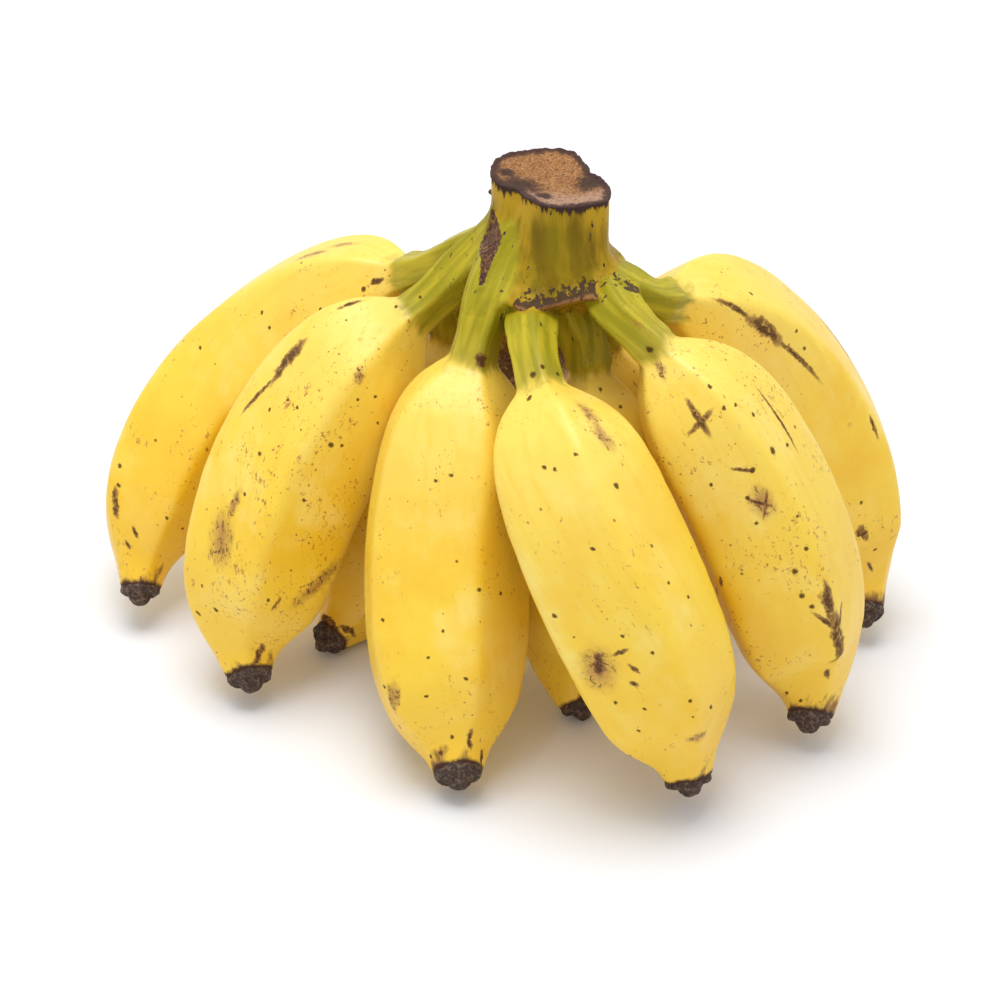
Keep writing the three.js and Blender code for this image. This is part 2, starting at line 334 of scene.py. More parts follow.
class Graph:
    """Adds nodes to one node tree and joins them."""

    def __init__(self, tree: bpy.types.NodeTree) -> None:
        """Starts on a tree."""
        self.tree = tree

    def feed(self, socket: Value, value: object) -> None:
        """Gives an input socket its value.

        Args:
            socket: the input.
            value: number, vector or colour for it, or the output socket to link it to.
        """
        if isinstance(value, Value):
            self.tree.links.new(value, socket)
        elif socket.type == "RGBA" and len(value) == 3:
            socket.default_value = (*value, 1)
        else:
            socket.default_value = value

    def feed_named(self, sockets: Sockets, **values: object) -> None:
        """Feeds input sockets by their names, with _ for a space."""
        for name, value in values.items():
            self.feed(sockets[name.replace("_", " ")], value)

    def node(self, kind: str, settings: dict[str, object] | None = None, *inputs: object,
             **named: object) -> bpy.types.Node:
        """Adds a node.

        Args:
            kind: node type without its ShaderNode prefix.
            settings: properties of the node.
            *inputs: what its input sockets get, in their order.
            **named: what other input sockets get, by name with _ for a space.

        Returns:
            The new node.
        """
        node = self.tree.nodes.new("ShaderNode" + kind)
        for name, value in (settings or {}).items():
            setattr(node, name, value)
        for socket, value in zip(node.inputs, inputs):
            self.feed(socket, value)
        self.feed_named(node.inputs, **named)
        return node

    def math(self, operation: str, *numbers: object) -> Value:
        """One step of arithmetic on one to three numbers."""
        return self.node("Math", {"operation": operation}, *numbers).outputs[0]

    def times(self, a: object, b: object) -> Value:
        """Product of two numbers."""
        return self.math("MULTIPLY", a, b)

    def plus(self, a: object, b: object) -> Value:
        """Sum of two numbers."""
        return self.math("ADD", a, b)

    def minus(self, a: object, b: object) -> Value:
        """First number less the second."""
        return self.math("SUBTRACT", a, b)

    def inverse(self, share: object) -> Value:
        """What a share leaves of 1."""
        return self.math("SUBTRACT", 1.0, share)

    def scaled(self, number: object, by: object, plus: object) -> Value:
        """A number times another, plus a third."""
        return self.math("MULTIPLY_ADD", number, by, plus)

    def largest(self, *numbers: object) -> Value:
        """Largest of several numbers."""
        return reduce(partial(self.math, "MAXIMUM"), numbers)

    def vector(self, operation: str, *vectors: object) -> Value:
        """One step of arithmetic on one or two vectors."""
        node = self.node("VectorMath", {"operation": operation}, *vectors)
        return node.outputs["Value" if operation in ("DOT_PRODUCT", "LENGTH") else "Vector"]

    def moved(self, place: object, by: Point) -> Value:
        """A place moved, to read another stretch of a pattern."""
        return self.vector("ADD", place, by)

    def stretched(self, place: object, by: Point) -> Value:
        """A place scaled along each axis."""
        return self.vector("MULTIPLY", place, by)

    def divided(self, place: Value, size: Value) -> Value:
        """A place divided by one size along every axis."""
        sizes = self.node("CombineXYZ", None, size, size, size)
        return self.vector("DIVIDE", place, sizes.outputs[0])

    def step(self, value: object, low: object, high: object) -> Value:
        """Soft step from 0 at low to 1 at high."""
        smooth = {"interpolation_type": "SMOOTHSTEP"}
        return self.node("MapRange", smooth, value, low, high, 0.0, 1.0).outputs[0]

    def layers(self, colour: object, *coats: tuple[object, object, float]) -> Value:
        """A colour with others over parts of it.

        Args:
            colour: colour underneath.
            *coats: each coat's colour, its mask from 0 to 1, and how well it covers there.

        Returns:
            The mixed colour.
        """
        settings = {"data_type": "RGBA", "blend_type": "MIX", "clamp_factor": True}
        for coat, mask, cover in coats:
            node = self.node("Mix", settings, mask if cover == 1 else self.times(mask, cover))
            for socket, given in zip(MIX_COLOURS, (colour, coat)):
                self.feed(node.inputs[socket], given)
            colour = node.outputs[MIX_RESULT]
        return colour

    def noise(self, place: object, scale: float | Point, detail: float = 2.0, rough: float = 0.5,
              bend: float = 0.0) -> Value:
        """Soft noise from 0 to 1.

        Args:
            place: where it is read.
            scale: lumps per millimetre, for all axes or for each.
            detail: number of finer layers.
            rough: strength of the finer layers.
            bend: how far the noise bends itself.

        Returns:
            The noise.
        """
        if isinstance(scale, tuple):
            place, scale = self.stretched(place, scale), 1.0
        return self.node("TexNoise", Vector=place, Scale=scale, Detail=detail, Roughness=rough,
                         Distortion=bend).outputs[0]

    def attribute(self, name: str) -> Value:
        """Numbers kept at the vertices."""
        return self.node("Attribute", {"attribute_name": name}).outputs["Fac"]

    def place(self, name: str) -> Value:
        """Places kept at the vertices."""
        return self.node("Attribute", {"attribute_name": name}).outputs["Vector"]

    def group(self, tree: bpy.types.NodeTree, **inputs: object) -> bpy.types.Node:
        """Places a node group with its own values."""
        return self.node("Group", {"node_tree": tree}, **inputs)


class Socket(Enum):
    """Kinds of socket that a node group shows."""

    NUMBER = "NodeSocketFloat"
    VECTOR = "NodeSocketVector"
    COLOUR = "NodeSocketColor"


def new_group(name: str, inputs: dict[Socket, tuple[str, ...]], outputs: dict[Socket, tuple[str, ...]]
              ) -> tuple[Graph, Sockets, Sockets]:
    """Starts a shader node group.

    Args:
        name: name of the group.
        inputs: names of the input sockets of each kind.
        outputs: names of the output sockets of each kind.

    Returns:
        The group's graph, what it is given and what it gives.
    """
    tree = bpy.data.node_groups.new(name, "ShaderNodeTree")
    for side, kinds in (("INPUT", inputs), ("OUTPUT", outputs)):
        for kind, labels in kinds.items():
            for label in labels:
                tree.interface.new_socket(label, in_out=side, socket_type=kind.value)
    return Graph(tree), tree.nodes.new("NodeGroupInput").outputs, tree.nodes.new("NodeGroupOutput").inputs


# ---------------------------------------------------------------- effects that several finishes use


class Effects:
    """Shader node groups, each built once and placed in the finishes with their own values."""

    def __init__(self) -> None:
        """Builds every group."""
        self.specks = self._specks()
        self.mark = self._mark()
        self.ground = self._ground()
        self.cork = self._cork()

    @staticmethod
    def _specks() -> bpy.types.NodeTree:
        """Scattered small dots.

        Returns:
            Group that takes their Spacing and Size in millimetres and the Share of them to keep.
        """
        graph, given, result = new_group(
            "specks", {Socket.VECTOR: ("Place",), Socket.NUMBER: ("Spacing", "Size", "Share")},
            {Socket.NUMBER: ("Mask",)})
        place, spacing = given["Place"], given["Spacing"]
        wobble = graph.node("TexNoise", Vector=place, Scale=2.2, Detail=1.0).outputs["Color"]
        bent = graph.vector("ADD", place, graph.stretched(wobble, (0.5, 0.5, 0.5)))
        cells = graph.node("TexVoronoi", {"feature": "F1"}, Scale=1.0, Vector=graph.divided(bent, spacing))
        chance = graph.node("SeparateColor", Color=cells.outputs["Color"])
        reach = graph.times(cells.outputs["Distance"], spacing)
        size = graph.times(given["Size"], graph.scaled(chance.outputs[0], 0.7, 0.3))
        dot = graph.inverse(graph.step(reach, graph.times(size, 0.6), size))
        kept = graph.math("LESS_THAN", chance.outputs[1], given["Share"])
        graph.feed(result["Mask"], graph.times(dot, kept))
        return graph.tree

    @staticmethod
    def _mark() -> bpy.types.NodeTree:
        """One mark at its place on a straightened fruit.

        Returns:
            Group that takes the mark's Centre, the Outward direction there, the directions Across
            and Ahead divided by its half sizes, and the share of it that is a solid Core.
        """
        graph, given, result = new_group(
            "mark", {Socket.VECTOR: ("Place", "Centre", "Outward", "Across", "Ahead"),
                     Socket.NUMBER: ("Core",)}, {Socket.NUMBER: ("Mask",)})
        local = graph.vector("SUBTRACT", given["Place"], given["Centre"])
        across, ahead = (graph.vector("DOT_PRODUCT", local, given[name]) for name in ("Across", "Ahead"))
        reach = graph.math("SQRT", graph.plus(graph.times(across, across), graph.times(ahead, ahead)))
        body = graph.inverse(graph.step(reach, given["Core"], 1.0))
        height = graph.vector("DOT_PRODUCT", given["Place"], given["Outward"])
        graph.feed(result["Mask"], graph.times(body, graph.math("GREATER_THAN", height, 0.0)))
        return graph.tree

    @staticmethod
    def _ground() -> bpy.types.NodeTree:
        """Ripe peel without its marks: mottled yellow, streaked lengthways, green on the stalk.

        Returns:
            Group that takes the share Along the fruit and its five colours.
        """
        colours = ("Ripe", "Deep", "Pale", "Green", "Unripe")
        graph, given, result = new_group(
            "peel_ground", {Socket.VECTOR: ("Place",), Socket.NUMBER: ("Along",), Socket.COLOUR: colours},
            {Socket.COLOUR: ("Color",), Socket.NUMBER: ("Height",)})
        place, along = given["Place"], given["Along"]
        ripe, deep, pale, green, unripe = (given[name] for name in colours)
        broad = graph.noise(place, 0.045, 3.0, 0.55)
        cloud = graph.noise(graph.moved(place, (40, 11, 7)), 0.07, 4.0, 0.6)
        streak = graph.noise(place, (0.45, 0.45, 0.03), 3.0, 0.55)
        stripes = graph.noise(place, (0.5, 0.5, 0.06))
        start = graph.scaled(graph.noise(place, (0.35, 0.35, 0.12)), 0.08, -0.045)
        on_stalk = graph.inverse(graph.step(along, graph.minus(start, 0.015), graph.plus(start, 0.025)))
        stalk = graph.layers(green, (unripe, graph.step(stripes, 0.35, 0.7), 1))
        colour = graph.layers(
            ripe,
            (deep, graph.step(broad, 0.4, 0.66), 0.85),
            (pale, graph.step(cloud, 0.46, 0.74), 1),
            # Paler towards the shoulder, the top of each hanging fruit: partly the skin's own paler tone
            # there, partly a painted sheen standing in for the overhead light's highlight on the tops.
            (pale, graph.inverse(graph.step(along, 0.15, 0.6)), 0.5),
            (deep, graph.step(along, 0.55, 1), 0.75),
            (deep, graph.step(streak, 0.45, 0.75), 0.35),
            (stalk, on_stalk, 1))
        fine = graph.noise(place, 2.4, 4.0, 0.6)
        ripple = graph.noise(place, (0.5, 0.5, 0.12), 3.0)
        graph.feed(result["Color"], colour)
        graph.feed(result["Height"], graph.scaled(fine, 0.25, ripple))
        return graph.tree

    @staticmethod
    def _cork() -> bpy.types.NodeTree:
        """Dry broken cork, in a light and dark pattern with the height that goes with it.

        Returns:
            Group that takes the Grain's size in millimetres and three colours.
        """
        graph, given, result = new_group(
            "dry_cork", {Socket.VECTOR: ("Place",), Socket.NUMBER: ("Grain",),
                         Socket.COLOUR: ("Dark", "Mid", "Light")},
            {Socket.COLOUR: ("Color",), Socket.NUMBER: ("Height",)})
        sized = graph.divided(given["Place"], given["Grain"])
        lumps = graph.noise(sized, 1.0, 6.0, 0.7)
        crumbs = graph.node("TexVoronoi", {"feature": "F1"}, Vector=sized, Scale=2.3).outputs["Distance"]
        height = graph.plus(lumps, graph.times(crumbs, 0.4))
        graph.feed(result["Color"], graph.layers(
            given["Dark"],
            (given["Mid"], graph.step(height, 0.45, 0.68), 1),
            (given["Light"], graph.step(height, 0.68, 0.92), 1)))
        graph.feed(result["Height"], height)
        return graph.tree


class Surface:
    """Material with a Principled surface and nothing else."""

    def __init__(self, name: str) -> None:
        """Starts the material.

        Args:
            name: name of the material.
        """
        self.material = bpy.data.materials.new(name)
        self.material.use_nodes = True
        self.material.node_tree.nodes.clear()
        self.graph = Graph(self.material.node_tree)
        self.principled = self.graph.node("BsdfPrincipled", Specular_IOR_Level=USUAL_SHINE)
        self.graph.node("OutputMaterial", Surface=self.principled.outputs[0])

    def finish(self, **values: object) -> bpy.types.Material:
        """Gives the surface its colour and the rest, and returns the material."""
        self.graph.feed_named(self.principled.inputs, **values)
        return self.material

    def bump(self, height: Value, strength: float, depth: float) -> Value:
        """Normals that a height in millimetres of depth gives."""
        return self.graph.node("Bump", Height=height, Strength=strength, Distance=depth * MM).outputs[0]


# ---------------------------------------------------------------- marks and finishes


class Edge(Enum):
    """How noise makes an edge ragged: its lumps per millimetre and its reach in millimetres."""

    FINE = (0.9, 1.1)
    ROUGH = (0.45, 3.4)


class MarkKind(Enum):
    """How a mark on the peel looks."""

    DOT = (0.45, Edge.FINE, 1.15)
    SCRATCH = (0.25, Edge.FINE, 1.3)
    SCAR = (0.35, Edge.ROUGH, 1.35)
    BRUISE = (0.05, Edge.ROUGH, 1.5)
    FRECKLES = (0.1, Edge.ROUGH, 1.25)

    def __init__(self, core: float, edge: Edge, spread: float) -> None:
        """Names the kind's values.

        Args:
            core: share of the mark that is fully covered.
            edge: how ragged it is.
            spread: size that it is drawn at, because it fades away at its edge.
        """
        self.core = core
        self.edge = edge
        self.spread = spread


@dataclass(frozen=True)
class Mark:
    """One mark on a banana's peel.

    Attributes:
        kind: how it looks.
        angle: degrees round the fruit, from its sideways direction towards its back.
        along: millimetres from the shoulder towards the tip.
        length: whole length in millimetres.
        width: whole width in millimetres, the same as the length if it is not given.
        turn: degrees that its length leans from the fruit's own.
    """

    kind: MarkKind
    angle: float
    along: float
    length: float = 1.0
    width: float = 0.0
    turn: float = 0.0

    def mask(self, graph: Graph, effects: Effects, place: Value) -> Value:
        """Mask of the mark, from 0 outside it to 1 inside.

        Args:
            graph: graph of the peel's material.
            effects: shared node groups.
            place: straightened place on the fruit, shaken for a ragged edge.

        Returns:
            Socket that gives the mask.
        """
        angle, turn = math.radians(self.angle), math.radians(self.turn)
        sideways = Vector((-math.sin(angle), math.cos(angle), 0))
        forward = Vector((0, 0, 1))
        across = sideways * math.cos(turn) + forward * math.sin(turn)
        ahead = forward * math.cos(turn) - sideways * math.sin(turn)
        half_length = self.kind.spread * self.length / 2
        half_width = self.kind.spread * (self.width or self.length) / 2
        return graph.group(
            effects.mark, Place=place, Centre=forward * self.along,
            Outward=Vector((math.cos(angle), math.sin(angle), 0)),
            Across=across / half_width, Ahead=ahead / half_length, Core=self.kind.core).outputs[0]


@dataclass(frozen=True)
class PeelFinish:
    """Satin ripe peel with freckles, specks, scratches, scars and bruises."""

    ripe: Colour = (0.93, 0.64, 0.035)
    deep: Colour = (0.89, 0.54, 0.012)
    pale: Colour = (0.95, 0.72, 0.14)
    green: Colour = (0.325, 0.28, 0.008)
    unripe: Colour = (0.53, 0.43, 0.022)
    bruise: Colour = (0.36, 0.125, 0.03)
    freckle: Colour = (0.4, 0.14, 0.018)
    withered: Colour = (0.14, 0.045, 0.03)
    scar: Colour = (0.075, 0.033, 0.022)
    speck: Colour = (0.085, 0.035, 0.015)
    roughness: float = 0.43
    roughness_range: float = 0.14
    worn_roughness: float = 0.3  # what worn places add
    worn_shine: float = 0.85  # what worn places take away
    shine: float = 0.68
    stalk_shine: float = 0.2
    bump: float = 0.4
    bump_depth: float = 0.13

    def ground(self, graph: Graph, effects: Effects, place: Value) -> Sockets:
        """Colour and height of the bare peel at places on a straightened fruit."""
        return graph.group(effects.ground, Place=place, Along=graph.attribute("along"), Ripe=self.ripe,
                           Deep=self.deep, Pale=self.pale, Green=self.green, Unripe=self.unripe).outputs

    def material(self, effects: Effects, finger: "Finger") -> bpy.types.Material:
        """Peel of one banana.

        Args:
            effects: shared node groups.
            finger: the banana.

        Returns:
            The material.
        """
        surface = Surface("peel_" + finger.number)
        graph = surface.graph
        straight, along = graph.place("straight"), graph.attribute("along")
        place = graph.moved(straight, tuple(finger.seed * step for step in PATTERN_STEP))
        ground = self.ground(graph, effects, place)
        veins = graph.noise(place, (1.0, 1.0, 0.7), 6.0, 0.7, 0.8)
        masks = self._marks(graph, effects, finger.marks, straight, place)
        freckles = self._freckles(graph, effects, place, veins, finger.freckling, masks[MarkKind.FRECKLES])
        bruise = masks[MarkKind.BRUISE]
        cracks = graph.times(graph.step(bruise, 0.1, 0.6), graph.step(veins, 0.5, 0.6))
        cracks = graph.times(cracks, 0.8)
        rough_marks = graph.largest(masks[MarkKind.SCRATCH], masks[MarkKind.SCAR])
        stain = graph.step(rough_marks, 0.0, 0.5)
        broken = graph.times(rough_marks, graph.step(veins, 0.32, 0.5))
        crowd = graph.step(graph.noise(graph.moved(place, (5, 60, 9)), 0.05), 0.3, 0.7)
        coarse = graph.group(effects.specks, Place=graph.moved(place, (3, 8, 21)), Spacing=5.5, Size=0.6,
                             Share=graph.times(crowd, 0.15 + 0.75 * finger.freckling)).outputs[0]
        specks = graph.largest(graph.times(coarse, 0.85), masks[MarkKind.DOT])
        halo, end = self._tip(graph, place, along)
        colour = graph.layers(
            ground["Color"],
            (self.freckle, freckles, 1),
            (self.bruise, bruise, 0.75),
            (self.scar, cracks, 1),
            (self.bruise, stain, 0.6),
            (self.scar, broken, 0.9),
            (self.speck, specks, 0.92),
            (self.withered, halo, 0.8),
            (self.scar, end, 1))

        worn = graph.largest(specks, broken, end, graph.times(halo, 0.6), cracks)
        rough = graph.scaled(graph.noise(place, 0.5, 3.0), self.roughness_range,
                             self.roughness - self.roughness_range / 2)
        pits = graph.times(graph.step(veins, 0.55, 0.65), 0.4)
        on_fruit = graph.step(along, -0.1, 0.05)
        shine = graph.scaled(on_fruit, self.shine - self.stalk_shine, self.stalk_shine)
        return surface.finish(
            Base_Color=colour, Roughness=graph.plus(rough, graph.times(worn, self.worn_roughness)),
            Specular_IOR_Level=graph.times(shine, graph.inverse(graph.times(worn, self.worn_shine))),
            Normal=surface.bump(graph.minus(ground["Height"], pits), self.bump, self.bump_depth))

    @staticmethod
    def _marks(graph: Graph, effects: Effects, marks: tuple[Mark, ...], straight: Value,
               place: Value) -> dict[MarkKind, object]:
        """Masks of all the marks of each kind.

        Args:
            graph: graph of the peel's material.
            effects: shared node groups.
            marks: marks at their places.
            straight: straightened place on the fruit.
            place: the same place, moved to this fruit's own pattern.

        Returns:
            The mask of each kind, 0 where there is none.
        """
        shaken = {}
        for edge in Edge:
            scale, reach = edge.value
            shake = graph.node("TexNoise", Vector=place, Scale=scale, Detail=4.0, Roughness=0.65)
            offset = graph.vector("SUBTRACT", shake.outputs["Color"], (0.5, 0.5, 0.5))
            shaken[edge] = graph.vector("ADD", straight, graph.stretched(offset, (reach,) * 3))
        return {kind: graph.largest(0.0, *(mark.mask(graph, effects, shaken[kind.edge])
                                           for mark in marks if mark.kind is kind)) for kind in MarkKind}

    @staticmethod
    def _freckles(graph: Graph, effects: Effects, place: Value,
                  veins: Value, freckling: float, crowded: object) -> Value:
        """Fine brown freckles and hairlines, in drifts over the fruit.

        Args:
            graph: graph of the peel's material.
            effects: shared node groups.
            place: straightened place in this fruit's own pattern.
            veins: fine branching noise.
            freckling: how freckled the whole fruit is, from 0 to 1.
            crowded: mask of the places that are thick with freckles.

        Returns:
            Mask of the freckles.
        """
        drift = graph.step(graph.noise(graph.moved(place, (70, 5, 30)), 0.055, 3.0, 0.6), 0.45, 0.64)
        amount = graph.largest(graph.scaled(drift, 1.1 * freckling, 0.15 * freckling), crowded)
        raised = graph.plus(veins, graph.times(amount, 0.08))
        hairs = graph.times(graph.step(raised, 0.64, 0.685), graph.step(amount, 0.0, 0.25))
        fine = graph.group(effects.specks, Place=place, Spacing=1.7, Size=0.42,
                           Share=graph.times(amount, 0.6)).outputs[0]
        return graph.times(graph.largest(hairs, fine), 0.85)

    @staticmethod
    def _tip(graph: Graph, place: Value, along: Value) -> tuple[Value, Value]:
        """Purple-brown withering round the flower end: patches that lean to one side, and a dark rim.

        Args:
            graph: graph of the peel's material.
            place: straightened place in this fruit's own pattern.
            along: share of the way from shoulder to tip.

        Returns:
            Masks of the patches and of the dark rim.
        """
        strips = graph.noise(place, (0.42, 0.42, 0.12), 4.0, 0.6)
        patches = graph.noise(place, (0.17, 0.17, 0.1))
        reach = graph.plus(along, graph.times(patches, 0.18))
        halo = graph.step(graph.plus(reach, graph.times(strips, 0.16)), 1.15, 1.195)
        end = graph.step(graph.plus(along, graph.times(strips, 0.02)), 1.0, 1.012)
        return halo, end


@dataclass(frozen=True)
class CrownFinish:
    """Fibrous olive crown with yellow corners, a tan cut face, a dried rim and corky scars."""

    olive: Colour = (0.19, 0.12, 0.003)
    lime: Colour = (0.27, 0.2, 0.005)
    gold: Colour = (0.5, 0.31, 0.015)
    cut: Colour = (0.3, 0.125, 0.04)
    cut_light: Colour = (0.5, 0.27, 0.12)
    cut_grey: Colour = (0.46, 0.29, 0.2)
    cut_dark: Colour = (0.06, 0.036, 0.03)
    rim: Colour = (0.06, 0.033, 0.032)
    brown: Colour = (0.12, 0.062, 0.042)
    tan: Colour = (0.36, 0.175, 0.06)
    shine: float = 0.12
    roughness: float = 0.45
    dry_roughness: float = 0.4  # what dry places add
    bump: float = 0.65
    bump_depth: float = 0.35
    # Dark patches of the cut face: centre across and back in the hand's millimetres, and reach.
    blots: tuple[Point, ...] = ((4.6, 4.8, 6.8), (20, 6.6, 5.0), (9.5, 0.5, 3.0), (1.5, 10, 3.0))

    def material(self, effects: Effects, peel: PeelFinish) -> bpy.types.Material:
        """Crown material, which turns into the peel's green along each stalk.

        Args:
            effects: shared node groups.
            peel: finish of the stalks that the crown meets.

        Returns:
            The material.
        """
        surface = Surface("crown_skin")
        graph = surface.graph
        place = graph.place("place")
        rim, cut, foot = (graph.attribute(name) for name in ("rim", "cut", "foot"))
        scar, stalk = graph.attribute("scar"), graph.attribute("stalk")

        grain = graph.noise(place, (0.8, 0.8, 0.05), 4.0, 0.6)
        ragged = graph.noise(place, 0.9, 5.0, 0.65)
        drip = graph.noise(place, (0.6, 0.6, 0.12), 4.0, 0.65)
        fibres = graph.noise(place, 1.3, 6.0, 0.75)
        ground = peel.ground(graph, effects, graph.place("limb_place"))
        on_stalk = graph.step(stalk, 0.1, 0.9)
        specks = graph.group(effects.specks, Place=place, Spacing=2.4, Size=0.3, Share=0.4).outputs[0]
        cork = graph.group(effects.cork, Place=graph.stretched(place, (1.0, 1.0, 0.45)), Grain=1.1,
                           Dark=self.rim, Mid=self.brown, Light=self.tan).outputs
        torn = graph.step(graph.plus(scar, graph.times(ragged, 1.1)), 0.36, 0.56)
        fringe = self._band(graph, foot, -0.5, graph.scaled(drip, 9.0, -2.4))
        welt = graph.times(self._band(graph, foot, -0.75, 0.55), graph.step(ragged, 0.38, 0.5))
        reach = graph.scaled(drip, 11.0, -3.8)
        burnt = graph.inverse(graph.step(rim, graph.times(reach, 0.5), reach))
        colour = graph.layers(
            self._skin(graph, place, grain),
            (ground["Color"], on_stalk, 1),
            (peel.speck, specks, 0.75),
            (cork["Color"], torn, 1),
            (self.rim, fringe, 0.9),
            (self.tan, welt, 1),
            (self.rim, burnt, 1),
            (self._face(graph, place, rim, fibres, ragged), cut, 1))

        dry = graph.largest(cut, torn, fringe, burnt)
        coarse = graph.times(graph.plus(cork["Height"], fibres), dry)
        height = graph.plus(graph.times(grain, 0.35), graph.times(coarse, 1.2))
        return surface.finish(
            Base_Color=colour, Roughness=graph.scaled(dry, self.dry_roughness, self.roughness),
            Specular_IOR_Level=graph.scaled(on_stalk, peel.stalk_shine - self.shine, self.shine),
            Normal=surface.bump(height, self.bump, self.bump_depth))

    @staticmethod
    def _band(graph: Graph, height: Value, low: float, high: float | Value) -> Value:
        """Mask of a band of heights.

        Args:
            graph: graph of the material.
            height: height of each place.
            low: where the band begins.
            high: where it ends.

        Returns:
            Mask that is soft at both ends.
        """
        above = graph.step(height, low - 0.2, low + 0.2)
        beyond = graph.step(height, graph.minus(high, 0.3), graph.plus(high, 0.3))
        return graph.times(above, graph.inverse(beyond))

    def _skin(self, graph: Graph, place: Value, grain: Value) -> Value:
        """Skin of the neck: olive faces, gold towards the top, the foot and the upright corners.

        Args:
            graph: graph of the material.
            place: place in the hand's millimetres.
            grain: noise of the upright fibres.

        Returns:
            Colour of the skin.
        """
        wide = graph.noise(place, (0.16, 0.16, 0.04))
        streaks = graph.noise(place, (0.45, 0.45, 0.07), 3.0, 0.6)
        warm = graph.plus(graph.attribute("gold"), graph.times(streaks, 1.3))
        return graph.layers(
            self.olive,
            (self.lime, graph.step(wide, 0.32, 0.72), 1),
            (self.olive, graph.step(grain, 0.5, 0.75), 0.4),
            (self.gold, graph.step(warm, 0.65, 1.45), 1))

    def _face(self, graph: Graph, place: Value, rim: Value, fibres: Value, ragged: Value) -> Value:
        """Cut face: tan fibres, pinkish grey towards the front rim, dark patches and a dark margin.

        Args:
            graph: graph of the material.
            place: place in the hand's millimetres.
            rim: distance from the face's edge in millimetres.
            fibres: fine noise of the torn fibres.
            ragged: noise that makes edges ragged.

        Returns:
            Colour of the face.
        """
        back = graph.node("SeparateXYZ", Vector=place).outputs["Y"]
        front = graph.inverse(graph.step(graph.plus(back, graph.times(ragged, 7.0)), 3.0, 8.5))
        shades = []
        for x, y, reach in self.blots:
            offset = graph.stretched(graph.vector("SUBTRACT", place, (x, y, 0)), (1 / reach, 1 / reach, 0))
            away = graph.plus(graph.vector("LENGTH", offset), graph.times(ragged, 1.2))
            shades.append(graph.inverse(graph.step(away, 0.9, 1.6)))
        pits = graph.step(graph.noise(place, 1.7, 6.0, 0.75), 0.5, 0.62)
        margin = graph.inverse(graph.step(graph.minus(rim, graph.times(ragged, 3.5)), -1.0, 0.4))
        return graph.layers(
            self.cut,
            (self.cut_light, graph.step(fibres, 0.38, 0.66), 1),
            (self.cut_grey, front, 0.8),
            (self.cut_dark, graph.largest(*shades), 0.93),
            (self.cut_dark, pits, 0.75),
            (self.rim, margin, 0.9))


@dataclass(frozen=True)
class FlowerEndFinish:
    """Dry, crumbly remnant of the flower."""

    dark: Colour = (0.03, 0.019, 0.014)
    mid: Colour = (0.068, 0.042, 0.03)
    light: Colour = (0.18, 0.12, 0.088)
    grain: float = 1.6
    roughness: float = 0.7
    roughness_range: float = 0.25
    bump: float = 0.8
    bump_depth: float = 0.5

    def material(self, effects: Effects) -> bpy.types.Material:
        """Material of all the flower ends.

        Args:
            effects: shared node groups.

        Returns:
            The material.
        """
        surface = Surface("dried_flower")
        graph = surface.graph
        place = graph.place("place")
        cork = graph.group(effects.cork, Place=place, Grain=self.grain, Dark=self.dark, Mid=self.mid,
                           Light=self.light).outputs
        rough = graph.scaled(graph.noise(place, 1.5, 3.0), self.roughness_range, self.roughness)
        return surface.finish(Base_Color=cork["Color"], Roughness=rough,
                              Normal=surface.bump(cork["Height"], self.bump, self.bump_depth))


# ---------------------------------------------------------------- pieces


# Radius of the fruit as a share of its largest, at shares of the way from shoulder to tip.
FRUIT_PROFILE = (
    (0, 0.3), (0.025, 0.42), (0.055, 0.57), (0.1, 0.73), (0.16, 0.86), (0.24, 0.945), (0.34, 0.985),
    (0.46, 1), (0.59, 0.985), (0.71, 0.94), (0.8, 0.85), (0.86, 0.73), (0.91, 0.57), (0.95, 0.42), (1, 0.3),
)
SOLID_SIDES = 20
SOLID_RIDGE = 0.02
COLLAR = 0.45  # share of the stalk that stays with the crown
STALK_RADIUS = 5.2


